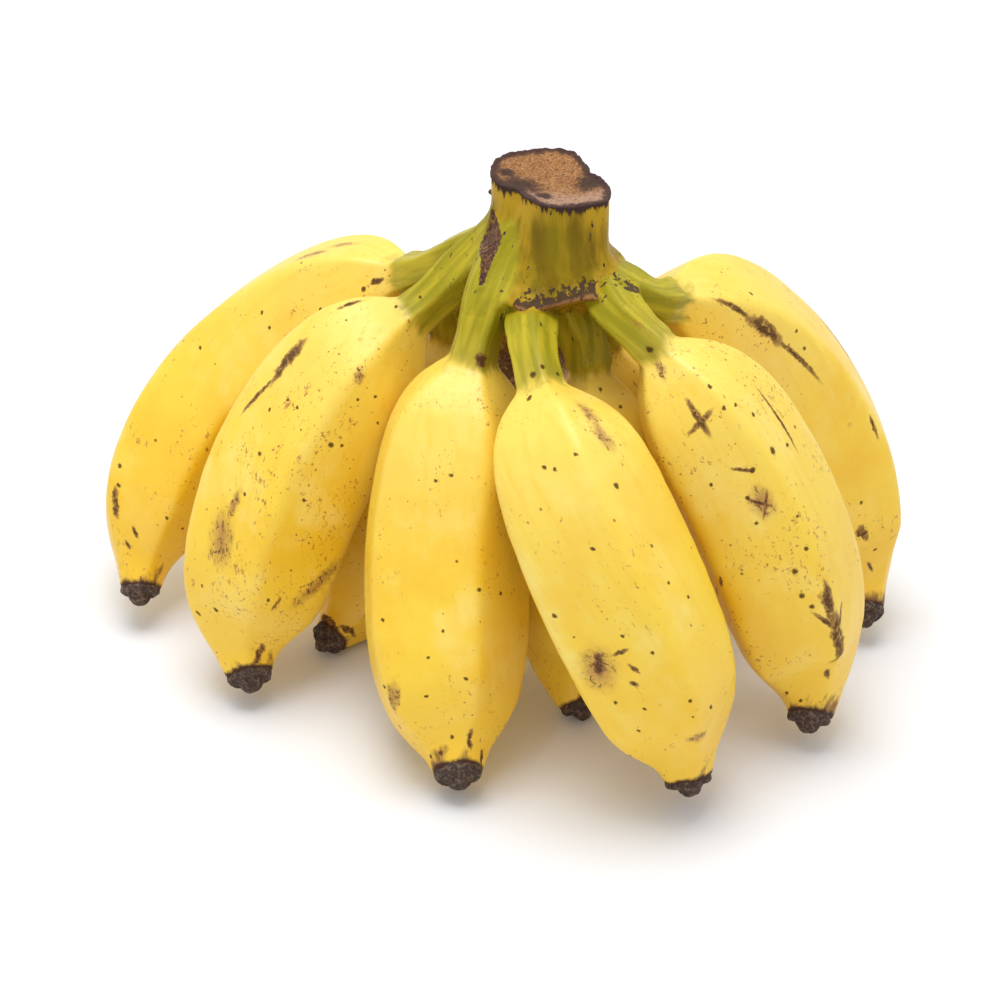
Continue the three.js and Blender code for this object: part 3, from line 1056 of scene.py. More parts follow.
@dataclass(frozen=True)
class Finger:
    """Skin of one banana with its free stalk."""

    number: str
    corner: float = 0.0  # angle of one edge of the fruit at its shoulder, in degrees
    freckling: float = 0.5
    marks: tuple[Mark, ...] = ()
    stalk_width: float = 1.0  # thickness of the stalk against the others
    sides: int = 96
    ring_step: float = 0.75
    buried: float = 3.0  # start of the stalk inside the crown's limb
    # Radius of the stalk: hidden in the limb, just past the collar, halfway and near the shoulder.
    stalk_radii: tuple[float, ...] = (4.4, 5.15, 4.9, 5.1)
    lump: float = 0.35  # height of the broad swellings
    lump_size: float = 26.0
    dimple: float = 0.06  # height of the small ones
    dimple_size: float = 5.0
    # How the skin turns in over the blunt end and leaves a shallow bowl behind the flower end:
    # millimetres past the tip, and share of the radius there.
    turn_in: Pairs = ((0.35, 0.97), (0.5, 0.88), (0.3, 0.76), (-0.3, 0.6), (-0.6, 0.35))
    # Share of a true pentagon, at shares of the way from shoulder to tip.
    facets: Pairs = (
        (-0.3, 1.0), (-0.03, 1.0), (0.06, 0.9), (0.3, 0.85), (0.6, 0.85), (0.85, 0.9), (1, 0.4))
    corner_softness: float = 4.0

    @property
    def form(self) -> BananaForm:
        """Driving dimensions of this banana."""
        return FORMS[self.number]

    @property
    def seed(self) -> float:
        """Offset that gives this banana its own patterns."""
        return float(self.number)

    def solid_rings(self) -> Array:
        """Rings of the solid fruit.

        Returns:
            Corners of the rings that reach furthest, in the hand's millimetres.
        """
        line = CentreLine(self.form)
        shares, widths = np.array(FRUIT_PROFILE[2:13]).T
        angle = turns(SOLID_SIDES)
        point, _, side, back = line.frames(self.form.stalk + shares * self.form.body)
        ridge = 1 + SOLID_RIDGE * widths[:, None] * np.cos(5 * (angle - math.radians(self.form.roll)))
        reach = self.form.radius * widths[:, None] * ridge
        rings = point[:, None] + reach[..., None] * spokes(angle, side[:, None], back[:, None])
        return rings.reshape(-1, 3)

    def radius_at(self, distance: Array) -> Array:
        """Mean radius of the skin.

        Args:
            distance: distances from the root, in millimetres.

        Returns:
            The radius in millimetres at each.
        """
        form = self.form
        collar = form.stalk * COLLAR
        hidden, past, middle, shoulder = self.stalk_radii
        stalk = [(collar - self.buried, hidden * self.stalk_width), (collar + 0.5, past * self.stalk_width),
                 ((collar + form.stalk) / 2, middle * self.stalk_width), (form.stalk - 2.5, shoulder)]
        fruit = [(form.stalk + share * form.body, form.radius * width) for share, width in FRUIT_PROFILE]
        knots, values = np.array(stalk + fruit).T
        return smooth_curve(knots, values, distance)

    def build(self, shift: Array) -> bpy.types.Object:
        """Makes the skin's mesh.

        Args:
            shift: move from the hand's own frame to the row's, in millimetres.

        Returns:
            The skin, with its straightened places kept for the material.
        """
        form, line = self.form, CentreLine(self.form)
        start = form.stalk * COLLAR - self.buried
        count = round((line.length - start) / self.ring_step)
        distance = np.linspace(start, line.length, count)
        radius = self.radius_at(distance)
        past, share = np.array(self.turn_in).T
        distance = np.append(distance, line.length + past)
        radius = np.append(radius, radius[-1] * share)
        angle = turns(self.sides)
        along = (distance - form.stalk) / form.body
        amount = np.interp(along, *np.array(self.facets).T)
        outline = pentagon(angle - line.twist(distance)[:, None], self.corner, self.corner_softness)
        reach = radius[:, None] * (1 + amount[:, None] * (outline - 1))
        point, _, side, back = line.frames(distance)
        spread = spokes(angle, side[:, None], back[:, None])
        rings = (point[:, None] + reach[..., None] * spread).reshape(-1, 3)
        middles = point[[0, -1]]
        shrink = np.repeat(np.clip(radius / form.radius, 0.2, 1), self.sides)
        swell = (self.lump * rough_noise(rings, self.lump_size, 2, self.seed)
                 + self.dimple * rough_noise(rings, self.dimple_size, 2, self.seed + 40))
        rings += (swell * shrink)[:, None] * spread.reshape(-1, 3)

        points = np.vstack([rings, middles]) + shift
        points[:, 2] = np.maximum(points[:, 2], 0)
        piece = make_object("skin_" + self.number, points * MM, grid_faces(len(distance), self.sides))
        straight = np.stack([reach * np.cos(angle), reach * np.sin(angle),
                             np.repeat((distance - form.stalk)[:, None], self.sides, axis=1)], axis=-1)
        ends = np.array([[0, 0, distance[0] - form.stalk], [0, 0, distance[-1] - form.stalk]])
        store(piece, "straight", np.vstack([straight.reshape(-1, 3), ends]))
        store(piece, "along", np.append(np.repeat(along, self.sides), along[[0, -1]]))
        return piece

    def dress(self, piece: bpy.types.Object, finish: PeelFinish, effects: Effects) -> None:
        """Gives the skin its peel and puts it in the place of the solid fruit.

        Args:
            piece: the skin.
            finish: how the peel looks.
            effects: shared node groups.
        """
        piece.data.materials.append(finish.material(effects, self))
        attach(piece, BODY)
        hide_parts("finger_" + self.number)


@dataclass(frozen=True)
class FlowerEnd:
    """Withered remnant of the flower on one banana's tip: a ragged bowl round a crumbly cone."""

    number: str
    sides: int = 64
    fine: int = 40  # rings from seat to nose
    lobes: float = 0.5  # share of a true pentagon
    lobe_softness: float = 12.0
    crumble: float = 0.28  # how far its surface is broken up
    crumb_size: float = 2.4
    # Millimetres beyond the tip and share of the tip's radius, from the seat over the rim to the nose.
    outline: Pairs = (
        (-0.4, 0.84), (0.2, 0.95), (0.8, 0.98), (1.4, 0.96), (1.9, 0.88), (1.9, 0.76), (1.8, 0.68),
        (2.2, 0.6), (3.0, 0.5), (3.8, 0.4), (4.4, 0.27), (4.7, 0.08))

    def build(self, shift: Array) -> bpy.types.Object:
        """Makes the flower end's mesh.

        Args:
            shift: move from the hand's own frame to the row's, in millimetres.

        Returns:
            The flower end.
        """
        form = FORMS[self.number]
        line = CentreLine(form)
        seat, forward, side, back = (rows[0] for rows in line.frames(np.array([line.length])))
        knots = np.linspace(0, 1, len(self.outline))
        where = np.linspace(0, 1, self.fine)
        out, width = (smooth_curve(knots, np.array(column, float), where) for column in zip(*self.outline))
        angle = turns(self.sides)
        lobes = 1 + self.lobes * (pentagon(angle, form.roll, self.lobe_softness) - 1)
        reach = form.radius * FRUIT_PROFILE[-1][1] * width[:, None] * lobes
        rings = seat + out[:, None, None] * forward + reach[..., None] * spokes(angle, side, back)
        nose = seat + out[-1] * forward
        points = np.vstack([rings.reshape(-1, 3), seat + out[0] * forward, nose])
        seed = float(self.number) + 70
        rough = np.stack([rough_noise(points, self.crumb_size, 4, seed + k) for k in range(3)], axis=-1)
        hold = np.append(np.repeat(smooth_step(0, 0.12, where), self.sides), [0, 1])
        points += self.crumble * rough * hold[:, None] + shift
        points[:, 2] = np.maximum(points[:, 2], 0)
        piece = make_object("dried_flower_" + self.number, points * MM, grid_faces(self.fine, self.sides))
        store(piece, "place", points)
        return piece

    def dress(self, piece: bpy.types.Object, material: bpy.types.Material) -> None:
        """Gives the flower end its material and puts it in the place of the solid one.

        Args:
            piece: the flower end.
            material: what it is made of.
        """
        piece.data.materials.append(material)
        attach(piece, BODY)
        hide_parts("flower_end_" + self.number)


def marks(**rows_of_kinds: tuple[tuple[float, ...], ...]) -> tuple[Mark, ...]:
    """Marks from one row of numbers each, in the order of Mark's own, by the name of their kind."""
    return tuple(Mark(MarkKind[kind], *row) for kind, rows in rows_of_kinds.items() for row in rows)


FINGERS = (
    Finger("01", corner=49, freckling=0.45, stalk_width=0.88, marks=marks(
        DOT=((32, 36), (72, 55), (48, 36), (13, 19, 1.2), (9, 6, 1.5), (106, 88, 1.2), (107, 92, 1.2),
             (51, 97), (22, 98)),
        SCRATCH=((90, 102, 3, 1, 23), (105, 105, 2, 1, 22)),
        SCAR=((15, 3, 3, 1.5), (112, 96, 7, 1.6, -9)),
        BRUISE=((77, 20, 8, 3), (93, 14, 6, 2.8, 11)),
        FRECKLES=((91, 81, 12, 7, 83),))),
    Finger("02", corner=23, freckling=0.8, marks=marks(
        DOT=((70, 31), (81, 35), (59, 31), (20, 21), (7, 18), (24, 34, 1.7), (15, 33), (74, 44), (77, 53),
             (31, 49), (47, 74), (107, 81, 1.5), (137, 83, 1.2), (134, 96, 1.5), (69, 1), (51, -5)),
        SCRATCH=((97, 34, 11, 1, -21), (39, 75, 4, 1, -32), (92, 8, 5, 1)),
        SCAR=((90, 25, 11, 2.4, -5), (67, 93, 6, 1.8, -26)),
        BRUISE=((29, 16, 4, 2.5, 33), (85, 56, 7, 2.2, -15), (92, 64, 11, 6.5), (1, 69, 16, 3.5, -37)),
        FRECKLES=((86, 46, 17, 9, -5),))),
    Finger("03", corner=10, freckling=0.5, marks=marks(
        SCAR=((94, 81, 6, 1.5, 80), (26, 80, 5, 1.5, -78)),
        BRUISE=((200, 30, 12, 4),))),
    Finger("04", corner=34, freckling=0.4, marks=marks(
        DOT=((72, 24, 1.1), (84, 26), (63, 52, 1.2), (40, 53, 1.2), (134, 59), (92, 62), (84, 74),
             (119, 77), (74, 45, 0.9), (108, 68, 0.9), (149, 73, 0.9), (100, 88), (178, 82, 1.2),
             (127, 91, 1.2), (152, 91, 1.2)),
        SCAR=((38, -2, 3, 2, 69), (71, 89, 4, 1.4, 14), (28, 92, 3, 1.2, 21)),
        BRUISE=((146, 76, 8, 3, -26),),
        FRECKLES=((42, 7, 10, 6, -18),))),
    Finger("05", corner=20, freckling=0.4, marks=marks(
        DOT=((114, -2, 1.5), (87, -3, 1.2), (41, -2, 1.2), (129, 3, 1.5), (91, 26, 1.7), (106, 18),
             (132, 18), (125, 19), (130, 35), (181, 44), (147, 52), (136, 57), (166, 68), (194, 82),
             (183, 65), (133, 69), (118, 74, 1.2), (182, 73), (96, 47, 0.9), (85, 52, 0.9)),
        SCRATCH=((156, 55, 4, 1, -84), (154, 59, 3, 1, 26), (161, 62, 2, 1, 58)),
        SCAR=((175, 56, 5, 1.8, -34),),
        BRUISE=((70, 10, 6, 4), (73, 15.5, 7, 4.2), (178, 57, 10, 7, -35), (127, 80, 6, 2.6, 62)),
        FRECKLES=((78, 13, 14, 8),))),
    Finger("06", corner=40, freckling=0.5, marks=marks(
        DOT=((88, 3), (62, 7)),
        SCAR=((20, 60, 6, 1.5, 20),))),
    Finger("07", corner=58, freckling=0.7, marks=marks(
        DOT=((152, -2, 1.5), (130, 10, 1.1), (133, 15, 1.1), (124, 16), (175, 28), (115, 20),
             (119, 28, 1.9), (140, 29, 1.5), (99, 30, 1.2), (153, 34, 1.2), (155, 40, 1.1),
             (129, 49, 1.2), (126, 42), (141, 53, 1.7), (141, 59, 1.5), (136, 62, 1.2), (145, 90, 1.2),
             (115, 93, 1.2)),
        SCRATCH=((155, 14, 9, 1.7), (156, 15, 8, 1.4, -76), (146, 28, 5, 0.9, 58), (146, 36, 6, 0.9, 50),
                 (143, 37, 6, 0.9, -30), (127, 67, 9, 1.1, 38), (116, 68, 8, 1.1, -34),
                 (197, 51, 3, 1, -15), (217, 56, 5, 1, -40), (95, 85, 6, 1, 42), (89, 25, 15, 0.9, -4)),
        SCAR=((124, 62, 9, 2.6, -5), (120, 71, 14, 3.1, 6)),
        BRUISE=((164, 2, 4, 2.6), (144, 36, 7, 5)))),
    Finger("08", corner=15, freckling=0.5, stalk_width=0.82, marks=marks(
        DOT=((137, 15), (143, 30), (145, 35), (129, 78), (96, 94, 1.2)),
        SCRATCH=((160, 10, 11, 1.2, -8), (154, 35, 20, 1.2, 12), (92, 100, 4, 1, 31), (112, 63, 6, 1, 11)),
        SCAR=((161, 21, 14, 3, 3), (124, 86, 5, 1.7, 40)),
        BRUISE=((60, 50, 14, 4, 10),))),
    Finger("09", corner=30, freckling=0.6, marks=marks(
        DOT=((70, 40, 1.5),),
        SCAR=((120, 30, 12, 2, 15),),
        BRUISE=((90, 52, 9, 6),))),
    Finger("10", corner=50, freckling=0.6, marks=marks(
        DOT=((80, 60, 1.5),),
        # Its two largest scars, at 262 and 296 degrees, are painted shade: they darken the inner front of
        # this back fruit, seen through the gaps between the front stalks, where the hollow of the hand lies
        # in shade.
        SCAR=((262, 17, 32, 24), (296, 21, 24, 18), (95, 24, 9, 2, -10)),
        BRUISE=((120, 50, 8, 5),))),
)


def blend_min(a: Array, b: Array, width: float) -> Array:
    """Smaller of two distances, with a fillet of about the given width where they meet."""
    near = np.maximum(width - np.abs(a - b), 0) / width
    return np.minimum(a, b) - near * near * width / 4


def blend_max(a: Array, b: Array, width: float) -> Array:
    """Larger of two distances, with a rounding of about the given width where they meet."""
    return -blend_min(-a, -b, width)


def surface_net(field_values: Array) -> tuple[Array, Array]:
    """Mesh of the surface where a field of distances crosses zero.

    Args:
        field_values: distance to the surface at each corner of a grid, negative inside.

    Returns:
        Vertices in grid steps and the vertex indices of each four-sided face.
    """
    inside = field_values < 0
    corners = [(i, j, k) for i in (0, 1) for j in (0, 1) for k in (0, 1)]
    size = [n - 1 for n in inside.shape]
    count = sum(inside[i:i + size[0], j:j + size[1], k:k + size[2]].astype(np.int8) for i, j, k in corners)
    active = (count > 0) & (count < 8)
    cells = np.argwhere(active)
    total = np.zeros((len(cells), 3))
    crossings = np.zeros(len(cells))
    for corner in corners:
        for axis in range(3):
            if corner[axis]:
                continue
            far = np.array(corner)
            far[axis] = 1
            a = field_values[tuple((cells + corner).T)]
            b = field_values[tuple((cells + far).T)]
            cut = (a < 0) != (b < 0)
            share = np.where(cut, a / np.where(cut, a - b, 1), 0)
            place = np.array(corner) + share[:, None] * (far - corner)
            total += np.where(cut[:, None], place, 0)
            crossings += cut
    vertices = cells + total / crossings[:, None]

    number = np.full(active.shape, -1)
    number[active] = np.arange(len(cells))
    faces = []
    for axis in range(3):
        u, v = (axis + 1) % 3, (axis + 2) % 3
        a = np.take(inside, range(inside.shape[axis] - 1), axis)
        b = np.take(inside, range(1, inside.shape[axis]), axis)
        edges = np.argwhere(a != b)
        across, up = edges[:, u], edges[:, v]
        edges = edges[(across > 0) & (up > 0) & (across < size[u]) & (up < size[v])]
        leaving = a[tuple(edges.T)]
        loop = []
        for du, dv in ((1, 1), (0, 1), (0, 0), (1, 0)):
            cell = edges.copy()
            cell[:, u] -= du
            cell[:, v] -= dv
            loop.append(number[tuple(cell.T)])
        quads = np.stack(loop, axis=-1)
        quads[~leaving] = quads[~leaving][:, ::-1]
        faces.append(quads)
    return vertices, np.vstack(faces)


ROUND = np.arange(-180, 180)  # whole degrees round the neck


@dataclass(frozen=True)
class NeckSection:
    """One level of the crown's neck: its height, share of the way to the foot's outline, and width."""

    height: float
    foot: float
    width: float


@dataclass(frozen=True)
class WedgeScar:
    """Torn place down the neck's left front edge, where a leaf stalk has come away."""

    heights: tuple[float, ...] = (102, 105, 107.5, 110.5, 113.5, 115.5)
    middles: tuple[float, ...] = (-4.2, -3.2, -2.4, -1.8, -1.9, -2.5)  # across the hand
    half_widths: tuple[float, ...] = (0.4, 0.9, 1.5, 2.2, 1.3, 0.4)
    behind: float = 5.5  # it does not reach further back than this
    depth: float = 0.7
    border: float = 0.45

    def share(self, points: Array) -> Array:
        """How far inside the scar places are.

        Args:
            points: places in the hand's millimetres.

        Returns:
            1 on the scar's middle line, 0 on its edge, less outside.
        """
        half = np.interp(points[:, 2], self.heights, self.half_widths)
        middle = np.interp(points[:, 2], self.heights, self.middles)
        reach = 1 - np.abs(points[:, 0] - middle) / half
        ends = np.minimum(points[:, 2] - self.heights[0], self.heights[-1] - points[:, 2]) / 1.5
        return np.minimum(np.minimum(reach, ends), self.behind - points[:, 1])

    def sink(self, share: Array) -> Array:
        """Depth of the torn surface, with a raised border round it."""
        raised = smooth_step(-0.9, -0.25, share) * (1 - smooth_step(-0.25, 0.3, share))
        return self.depth * smooth_step(-0.1, 0.5, share) - self.border * raised


@dataclass(frozen=True)
class Crown:
    """Crown of the hand: a cut neck and the ten limbs that the stalks grow from."""

    axis: tuple[float, float] = (11.2, 6.6)
    # Outlines round the axis, of the cut face and of the foot that overhangs the front stalks.
    cut_face: Pairs = (
        (-13, 5), (-11, 10.5), (-4, 14), (2, 15.5), (5, 14.5), (7, 10), (8.5, 4), (12.5, -1),
        (13, -6), (12.5, -9), (8.5, -11), (0, -13), (-3, -11.5), (-7, -5.5), (-10.5, -4), (-13, 0))
    foot: Pairs = (
        (-15, 6), (-12, 13), (-3, 16), (6, 15), (13, 9), (15.5, 0), (15, -12.6), (13, -16.1), (9, -17.6),
        (1, -17.6), (-4.5, -19.5), (-7.2, -17.8), (-9.2, -15), (-11.5, -9), (-13.5, -1))
    corner_softness: float = 3.0  # rounding of the neck's upright edges, in degrees
    side_slope: float = 0.92  # what a sideways reach past the leaning sides is worth as a distance
    base_rounding: float = 6.0
    cut_height: float = 121
    cut_tilt: float = 0.05
    foot_height: float = 99.5
    sections: tuple[NeckSection, ...] = (
        NeckSection(89, 1, 0.35), NeckSection(94, 1, 0.65), NeckSection(98, 1, 0.92),
        NeckSection(99.5, 1, 1), NeckSection(103, 0.5, 1), NeckSection(108, 0.12, 0.98),
        NeckSection(114, 0, 0.99), NeckSection(121, 0, 0.99))
    dish: float = 1.3  # how far the cut face has sunk in its middle
    lip: float = 0.4  # thickness of the rolled edge round the cut face
    cut_rounding: float = 0.6
    ridge: float = 0.9  # thickness of the welt along the front of the foot
    ridge_wave: float = 0.12  # how far that thickness varies
    ridge_waver: float = 0.35  # how far the welt wanders up and down
    ridge_sunk: float = 0.4  # how far it has sunk into the foot
    ridge_fillet: float = 0.8
    ridge_sector: tuple[float, float] = (-128, -30)  # degrees round the axis
    ridge_ends: tuple[float, float] = (14, 10)  # degrees in which it rises and fades
    crust_ends: float = 8.0  # degrees in which its crust rises and fades
    spill: float = 4.5  # how far out the ridge's crust runs on over the next limb
    spill_sector: tuple[float, float] = (-56, -48)
    # Height of the foot's edge, at degrees round the axis.
    course: Pairs = (
        (-180, 99), (-140, 99.5), (-121, 99.6), (-112, 98.6), (-103, 98.8), (-87, 99.2), (-79, 100.1),
        (-63, 101.4), (-51, 100.2), (-40, 100.8), (0, 101), (90, 99.5), (180, 99))
    nub: Point = (-2.1, 12, 115.3)
    nub_radius: float = 0.6
    # Yellow of the neck's skin, at degrees round the axis, and what the top and the foot add.
    gold_bands: Pairs = (
        (-180, 0.2), (-165, 0.45), (-125, 0.5), (-110, 0.25), (-98, 0.04), (-86, 0.0), (-79, 0.15),
        (-72, 0.0), (-64, 0.0), (-46, 0.45), (-38, 0.5), (-20, 0.35), (60, 0.2), (180, 0.2))
    top_gold: float = 0.4
    foot_gold: float = 0.35
    scar: WedgeScar = WedgeScar()
    spring_inward: float = 0.55
    spring_up: dict[str, float] = field(default_factory=lambda: {"01": 8.0, "08": 4.0})
    usual_spring_up: float = 9.0
    limb_sag: dict[str, float] = field(default_factory=lambda: {"08": 2.2})
    limb_radii: Point = (3.5, 5.3, STALK_RADIUS)
    limb_end: float = 5.0  # run of each limb past its collar, inside the stalk
    limb_bend: float = 0.45  # share of the run from the neck at which a limb turns into its stalk
    limb_swell: float = 0.1  # what a limb's radius adds to the stalk's at the collar
    limb_taper: float = 1.4  # and what it loses by its end
    limb_step: float = 1.0
    grain: float = 0.55  # step of the grid that the surface is found on
    room: tuple[Point, Point] = ((-26, -28, 76), (44, 42, 123))  # corners of that grid
    cut_relief: float = 0.45  # height of the fibres on the cut face
    skin_relief: float = 0.06  # and on the skin
    # Fillet between the neck and each limb: wide where the outer limbs sweep out as webs.
    fillets: dict[str, float] = field(default_factory=lambda: {
        "01": 6, "02": 6, "03": 4, "04": 7, "05": 1.2, "06": 1.2, "07": 2.5, "08": 2.5, "09": 6, "10": 7})
    web: tuple[float, float] = (96, 103)  # heights between which the limbs grow together
    web_fillets: tuple[float, float] = (1, 3)
    far: float = 30.0  # height above the ridge that places beside it count as having

    def _reach(self, outline: Pairs) -> Array:
        """Reach of an outline.

        Args:
            outline: its corners, counted from the neck's axis.

        Returns:
            Reach at each whole degree round the axis, from -180.
        """
        x, y = np.array(outline, float).T
        angles = np.arctan2(y, x)
        order = np.argsort(angles)
        reach = np.interp(np.radians(ROUND), angles[order], np.hypot(x, y)[order], period=2 * math.pi)
        return softened(reach, self.corner_softness)

    def _degrees(self, points: Array) -> Array:
        """Angles of points round the neck's axis."""
        return np.degrees(np.arctan2(points[:, 1] - self.axis[1], points[:, 0] - self.axis[0]))

    def _foot_height(self, degrees: Array) -> Array:
        """Height of the foot's edge at angles round the axis."""
        return np.interp(degrees, *np.array(self.course).T)

    def _round(self, points: Array) -> tuple[Array, Array, Array]:
        """Places round the neck.

        Args:
            points: places in the hand's millimetres.

        Returns:
            Distance from the axis, angle round it in degrees, and the neck's own reach there.
        """
        offset = points[:, :2] - self.axis
        degrees = self._degrees(points)
        cut, foot = (np.interp(degrees, ROUND, self._reach(outline), period=360)
                     for outline in (self.cut_face, self.foot))
        heights, shares, widths = np.array([(s.height, s.foot, s.width) for s in self.sections]).T
        share = np.clip(smooth_curve(heights, shares, points[:, 2]), 0, 1)
        sag = self._foot_height(degrees) - self.foot_height
        level = points[:, 2] - share * sag + (1 - share) * offset[:, 0] * self.cut_tilt
        share = np.clip(smooth_curve(heights, shares, level), 0, 1)
        width = smooth_curve(heights, widths, level)
        return np.hypot(offset[:, 0], offset[:, 1]), degrees, width * (cut + share * (foot - cut))

    def _neck(self, points: Array) -> Array:
        """Rough distance to the uncut neck, with the welt along its foot.

        Args:
            points: places in the hand's millimetres.

        Returns:
            Distances, negative inside.
        """
        away, degrees, reach = self._round(points)
        side = (away - reach) * self.side_slope
        neck = blend_max(side, self.sections[0].height - points[:, 2], self.base_rounding)
        # Two waves vary the welt's thickness, and a slower one makes it wander up and down.
        waves = np.sin(np.radians(ROUND * 11)) + np.sin(np.radians(ROUND * 17 + 40))
        swell = self._sector(ROUND, *self.ridge_ends)
        welt = (self.ridge + self.ridge_wave * waves) * swell - self.ridge_sunk
        waver = self.ridge_waver * np.sin(np.radians(ROUND * 7 + 60))
        welt, waver = (np.interp(degrees, ROUND, values, period=360) for values in (welt, waver))
        bead = np.hypot(side, points[:, 2] - self._foot_height(degrees) - waver) - welt
        return blend_min(neck, bead, self.ridge_fillet)

    def _sector(self, degrees: Array, rise: float, fade: float) -> Array:
        """Share of the ridge at angles round the axis: 1 along it, with soft ends."""
        start, end = self.ridge_sector
        return smooth_step(start, start + rise, degrees) * (1 - smooth_step(end - fade, end, degrees))

    def _cut(self, points: Array) -> Array:
        """Height above the cut face, which is sunk in its middle.

        Args:
            points: places in the hand's millimetres.

        Returns:
            Heights, negative below the face.
        """
        away, _, reach = self._round(points)
        level = points[:, 2] - self.cut_height + self.cut_tilt * (points[:, 0] - self.axis[0])
        return level + self.dish * (1 - smooth_step(0.35, 0.93, away / np.maximum(reach, 1)))

    def _limb(self, finger: Finger, points: Array) -> tuple[Array, Array]:
        """Distance to one limb and the place on it.

        Args:
            finger: the banana that the limb belongs to.
            points: places in the hand's millimetres.

        Returns:
            Distances to the limb, and the places straightened out as the finger's skin has them.
        """
        form, line = finger.form, CentreLine(finger.form)
        collar = form.stalk * COLLAR
        root, forward, *_ = (rows[0] for rows in line.frames(np.array([0.0])))
        spring = root + self.spring_inward * (np.array([*self.axis, root[2]]) - root)
        spring[2] += self.spring_up.get(finger.number, self.usual_spring_up)
        run = np.linalg.norm(root - spring)
        shares = np.arange(0, 1, self.limb_step / run)[:, None]
        bend = root - forward * run * self.limb_bend
        lead = (1 - shares) ** 2 * spring + 2 * shares * (1 - shares) * bend + shares**2 * root
        along = np.append((shares[:, 0] - 1) * run, np.arange(0, collar + self.limb_end, self.limb_step))
        path, _, sides, backs = line.frames(np.maximum(along, 0))
        path[:len(lead)] = lead
        path[:, 2] -= self.limb_sag.get(finger.number, 0.0) * (1 - smooth_step(0, collar, along))
        start, middle, end = self.limb_radii
        radii = np.array([start, middle, end + self.limb_swell, end - self.limb_taper])
        radius = smooth_curve(np.array([-run, 0, collar, collar + self.limb_end]), radii, along)
        radius *= finger.stalk_width
        amount = finger.facets[0][1] * smooth_step(-run, 0, along)
        twist = line.twist(np.maximum(along, 0))

        reach = max(self.fillets.values()) + 1
        near = np.all((points > path.min(axis=0) - reach) & (points < path.max(axis=0) + reach), axis=1)
        close = points[near]
        best = np.full(len(close), float(reach))
        where = np.zeros((len(close), 3))
        for i, step in enumerate(np.diff(path, axis=0)):
            share = np.clip((close - path[i]) @ step / (step @ step), 0, 1)
            offset = close - path[i] - share[:, None] * step
            gap = np.linalg.norm(offset, axis=1) - radius[i] - share * (radius[i + 1] - radius[i])
            closer = np.flatnonzero(gap < best)
            best[closer] = gap[closer]
            where[closer, 0] = offset[closer] @ sides[i]
            where[closer, 1] = offset[closer] @ backs[i]
            where[closer, 2] = along[i] + share[closer] * (along[i + 1] - along[i])
        outline = pentagon(np.arctan2(where[:, 1], where[:, 0]) - np.interp(where[:, 2], along, twist),
                           finger.corner, finger.corner_softness)
        best -= np.interp(where[:, 2], along, radius * amount) * (outline - 1)
        gaps = np.full(len(points), float(reach))
        places = np.zeros((len(points), 3))
        gaps[near] = best
        places[near] = where
        return gaps, places

    def distance(self, points: Array) -> Array:
        """Distance to the crown's surface.

        Args:
            points: places in the hand's millimetres.

        Returns:
            Distances, negative inside.
        """
        neck = self._neck(points)
        web = np.interp(points[:, 2], self.web, self.web_fillets)
        joined, limbs = neck, None
        for finger in FINGERS:
            gap, _ = self._limb(finger, points)
            joined = np.minimum(joined, blend_min(neck, gap, self.fillets[finger.number]))
            limbs = gap if limbs is None else blend_min(limbs, gap, web)
        nub = np.linalg.norm(points - self.nub, axis=1) - self.nub_radius
        whole = blend_min(np.minimum(joined, limbs), nub, 0.8)
        cut = self._cut(points)
        lip = np.hypot(whole, cut) - self.lip
        return blend_min(blend_max(whole, cut, self.cut_rounding), lip, 0.5)

    def build(self, shift: Array) -> bpy.types.Object:
        """Makes the crown's mesh.

        Args:
            shift: move from the hand's own frame to the row's, in millimetres.

        Returns:
            The crown, with what its material reads kept at the vertices.
        """
        low, high = np.array(self.room, float)
        axes = [np.arange(a, b, self.grain) for a, b in zip(low, high)]
        grid = np.stack(np.meshgrid(*axes, indexing="ij"), axis=-1)
        values = self.distance(grid.reshape(-1, 3)).reshape(grid.shape[:3])
        vertices, faces = surface_net(values)
        points = low + vertices * self.grain
        for _ in range(2):
            points, slope = self._settle(points)
        outward = slope / np.maximum(np.linalg.norm(slope, axis=1), 0.1)[:, None]
        neck, cut = self._neck(points), self._cut(points)
        on_cut = cut > neck - self.lip
        scar = np.where(on_cut, -9, self.scar.share(points))
        fibres = rough_noise(points * (1, 1, 0.3), 2.2, 4, 3)
        relief = np.where(on_cut, self.cut_relief, self.skin_relief) * fibres - self.scar.sink(scar)
        piece = make_object("crown_skin", (points + relief[:, None] * outward + shift) * MM, faces.tolist())
        nub = 1.5 - np.linalg.norm(points - self.nub, axis=1)
        store(piece, "place", points)
        store(piece, "scar", np.maximum(scar, nub))
        self._store_neck(piece, points, neck, cut, on_cut)
        self._store_limbs(piece, points, neck)
        return piece

    def _store_neck(self, piece: bpy.types.Object, points: Array, neck: Array, cut: Array,
                    on_cut: Array) -> None:
        """Keeps what the neck's skin, the cut face and the ridge's crust are made from.

        Args:
            piece: the crown.
            points: its vertices in the hand's millimetres.
            neck: their distance from the uncut neck.
            cut: their height above the cut face.
            on_cut: which of them lie on the face.
        """
        away, degrees, reach = self._round(points)
        above = points[:, 2] - self._foot_height(degrees)
        store(piece, "cut", on_cut.astype(float))
        store(piece, "rim", np.where(on_cut, np.maximum(reach - away, 0), np.maximum(-cut, 0)))
        bands = np.interp(degrees, *np.array(self.gold_bands).T)
        store(piece, "gold", bands + self.top_gold * smooth_step(-8, -1.5, cut)
              + self.foot_gold * (1 - smooth_step(1, 5, above)))
        spill = self.spill * smooth_step(*self.spill_sector, degrees)
        off_ridge = 1 - self._sector(degrees, self.crust_ends, self.crust_ends)
        off_neck = smooth_step(0.5, 1.3, neck - spill)
        store(piece, "foot", above + self.far * (off_ridge + off_neck + (away < reach - 1.5)))

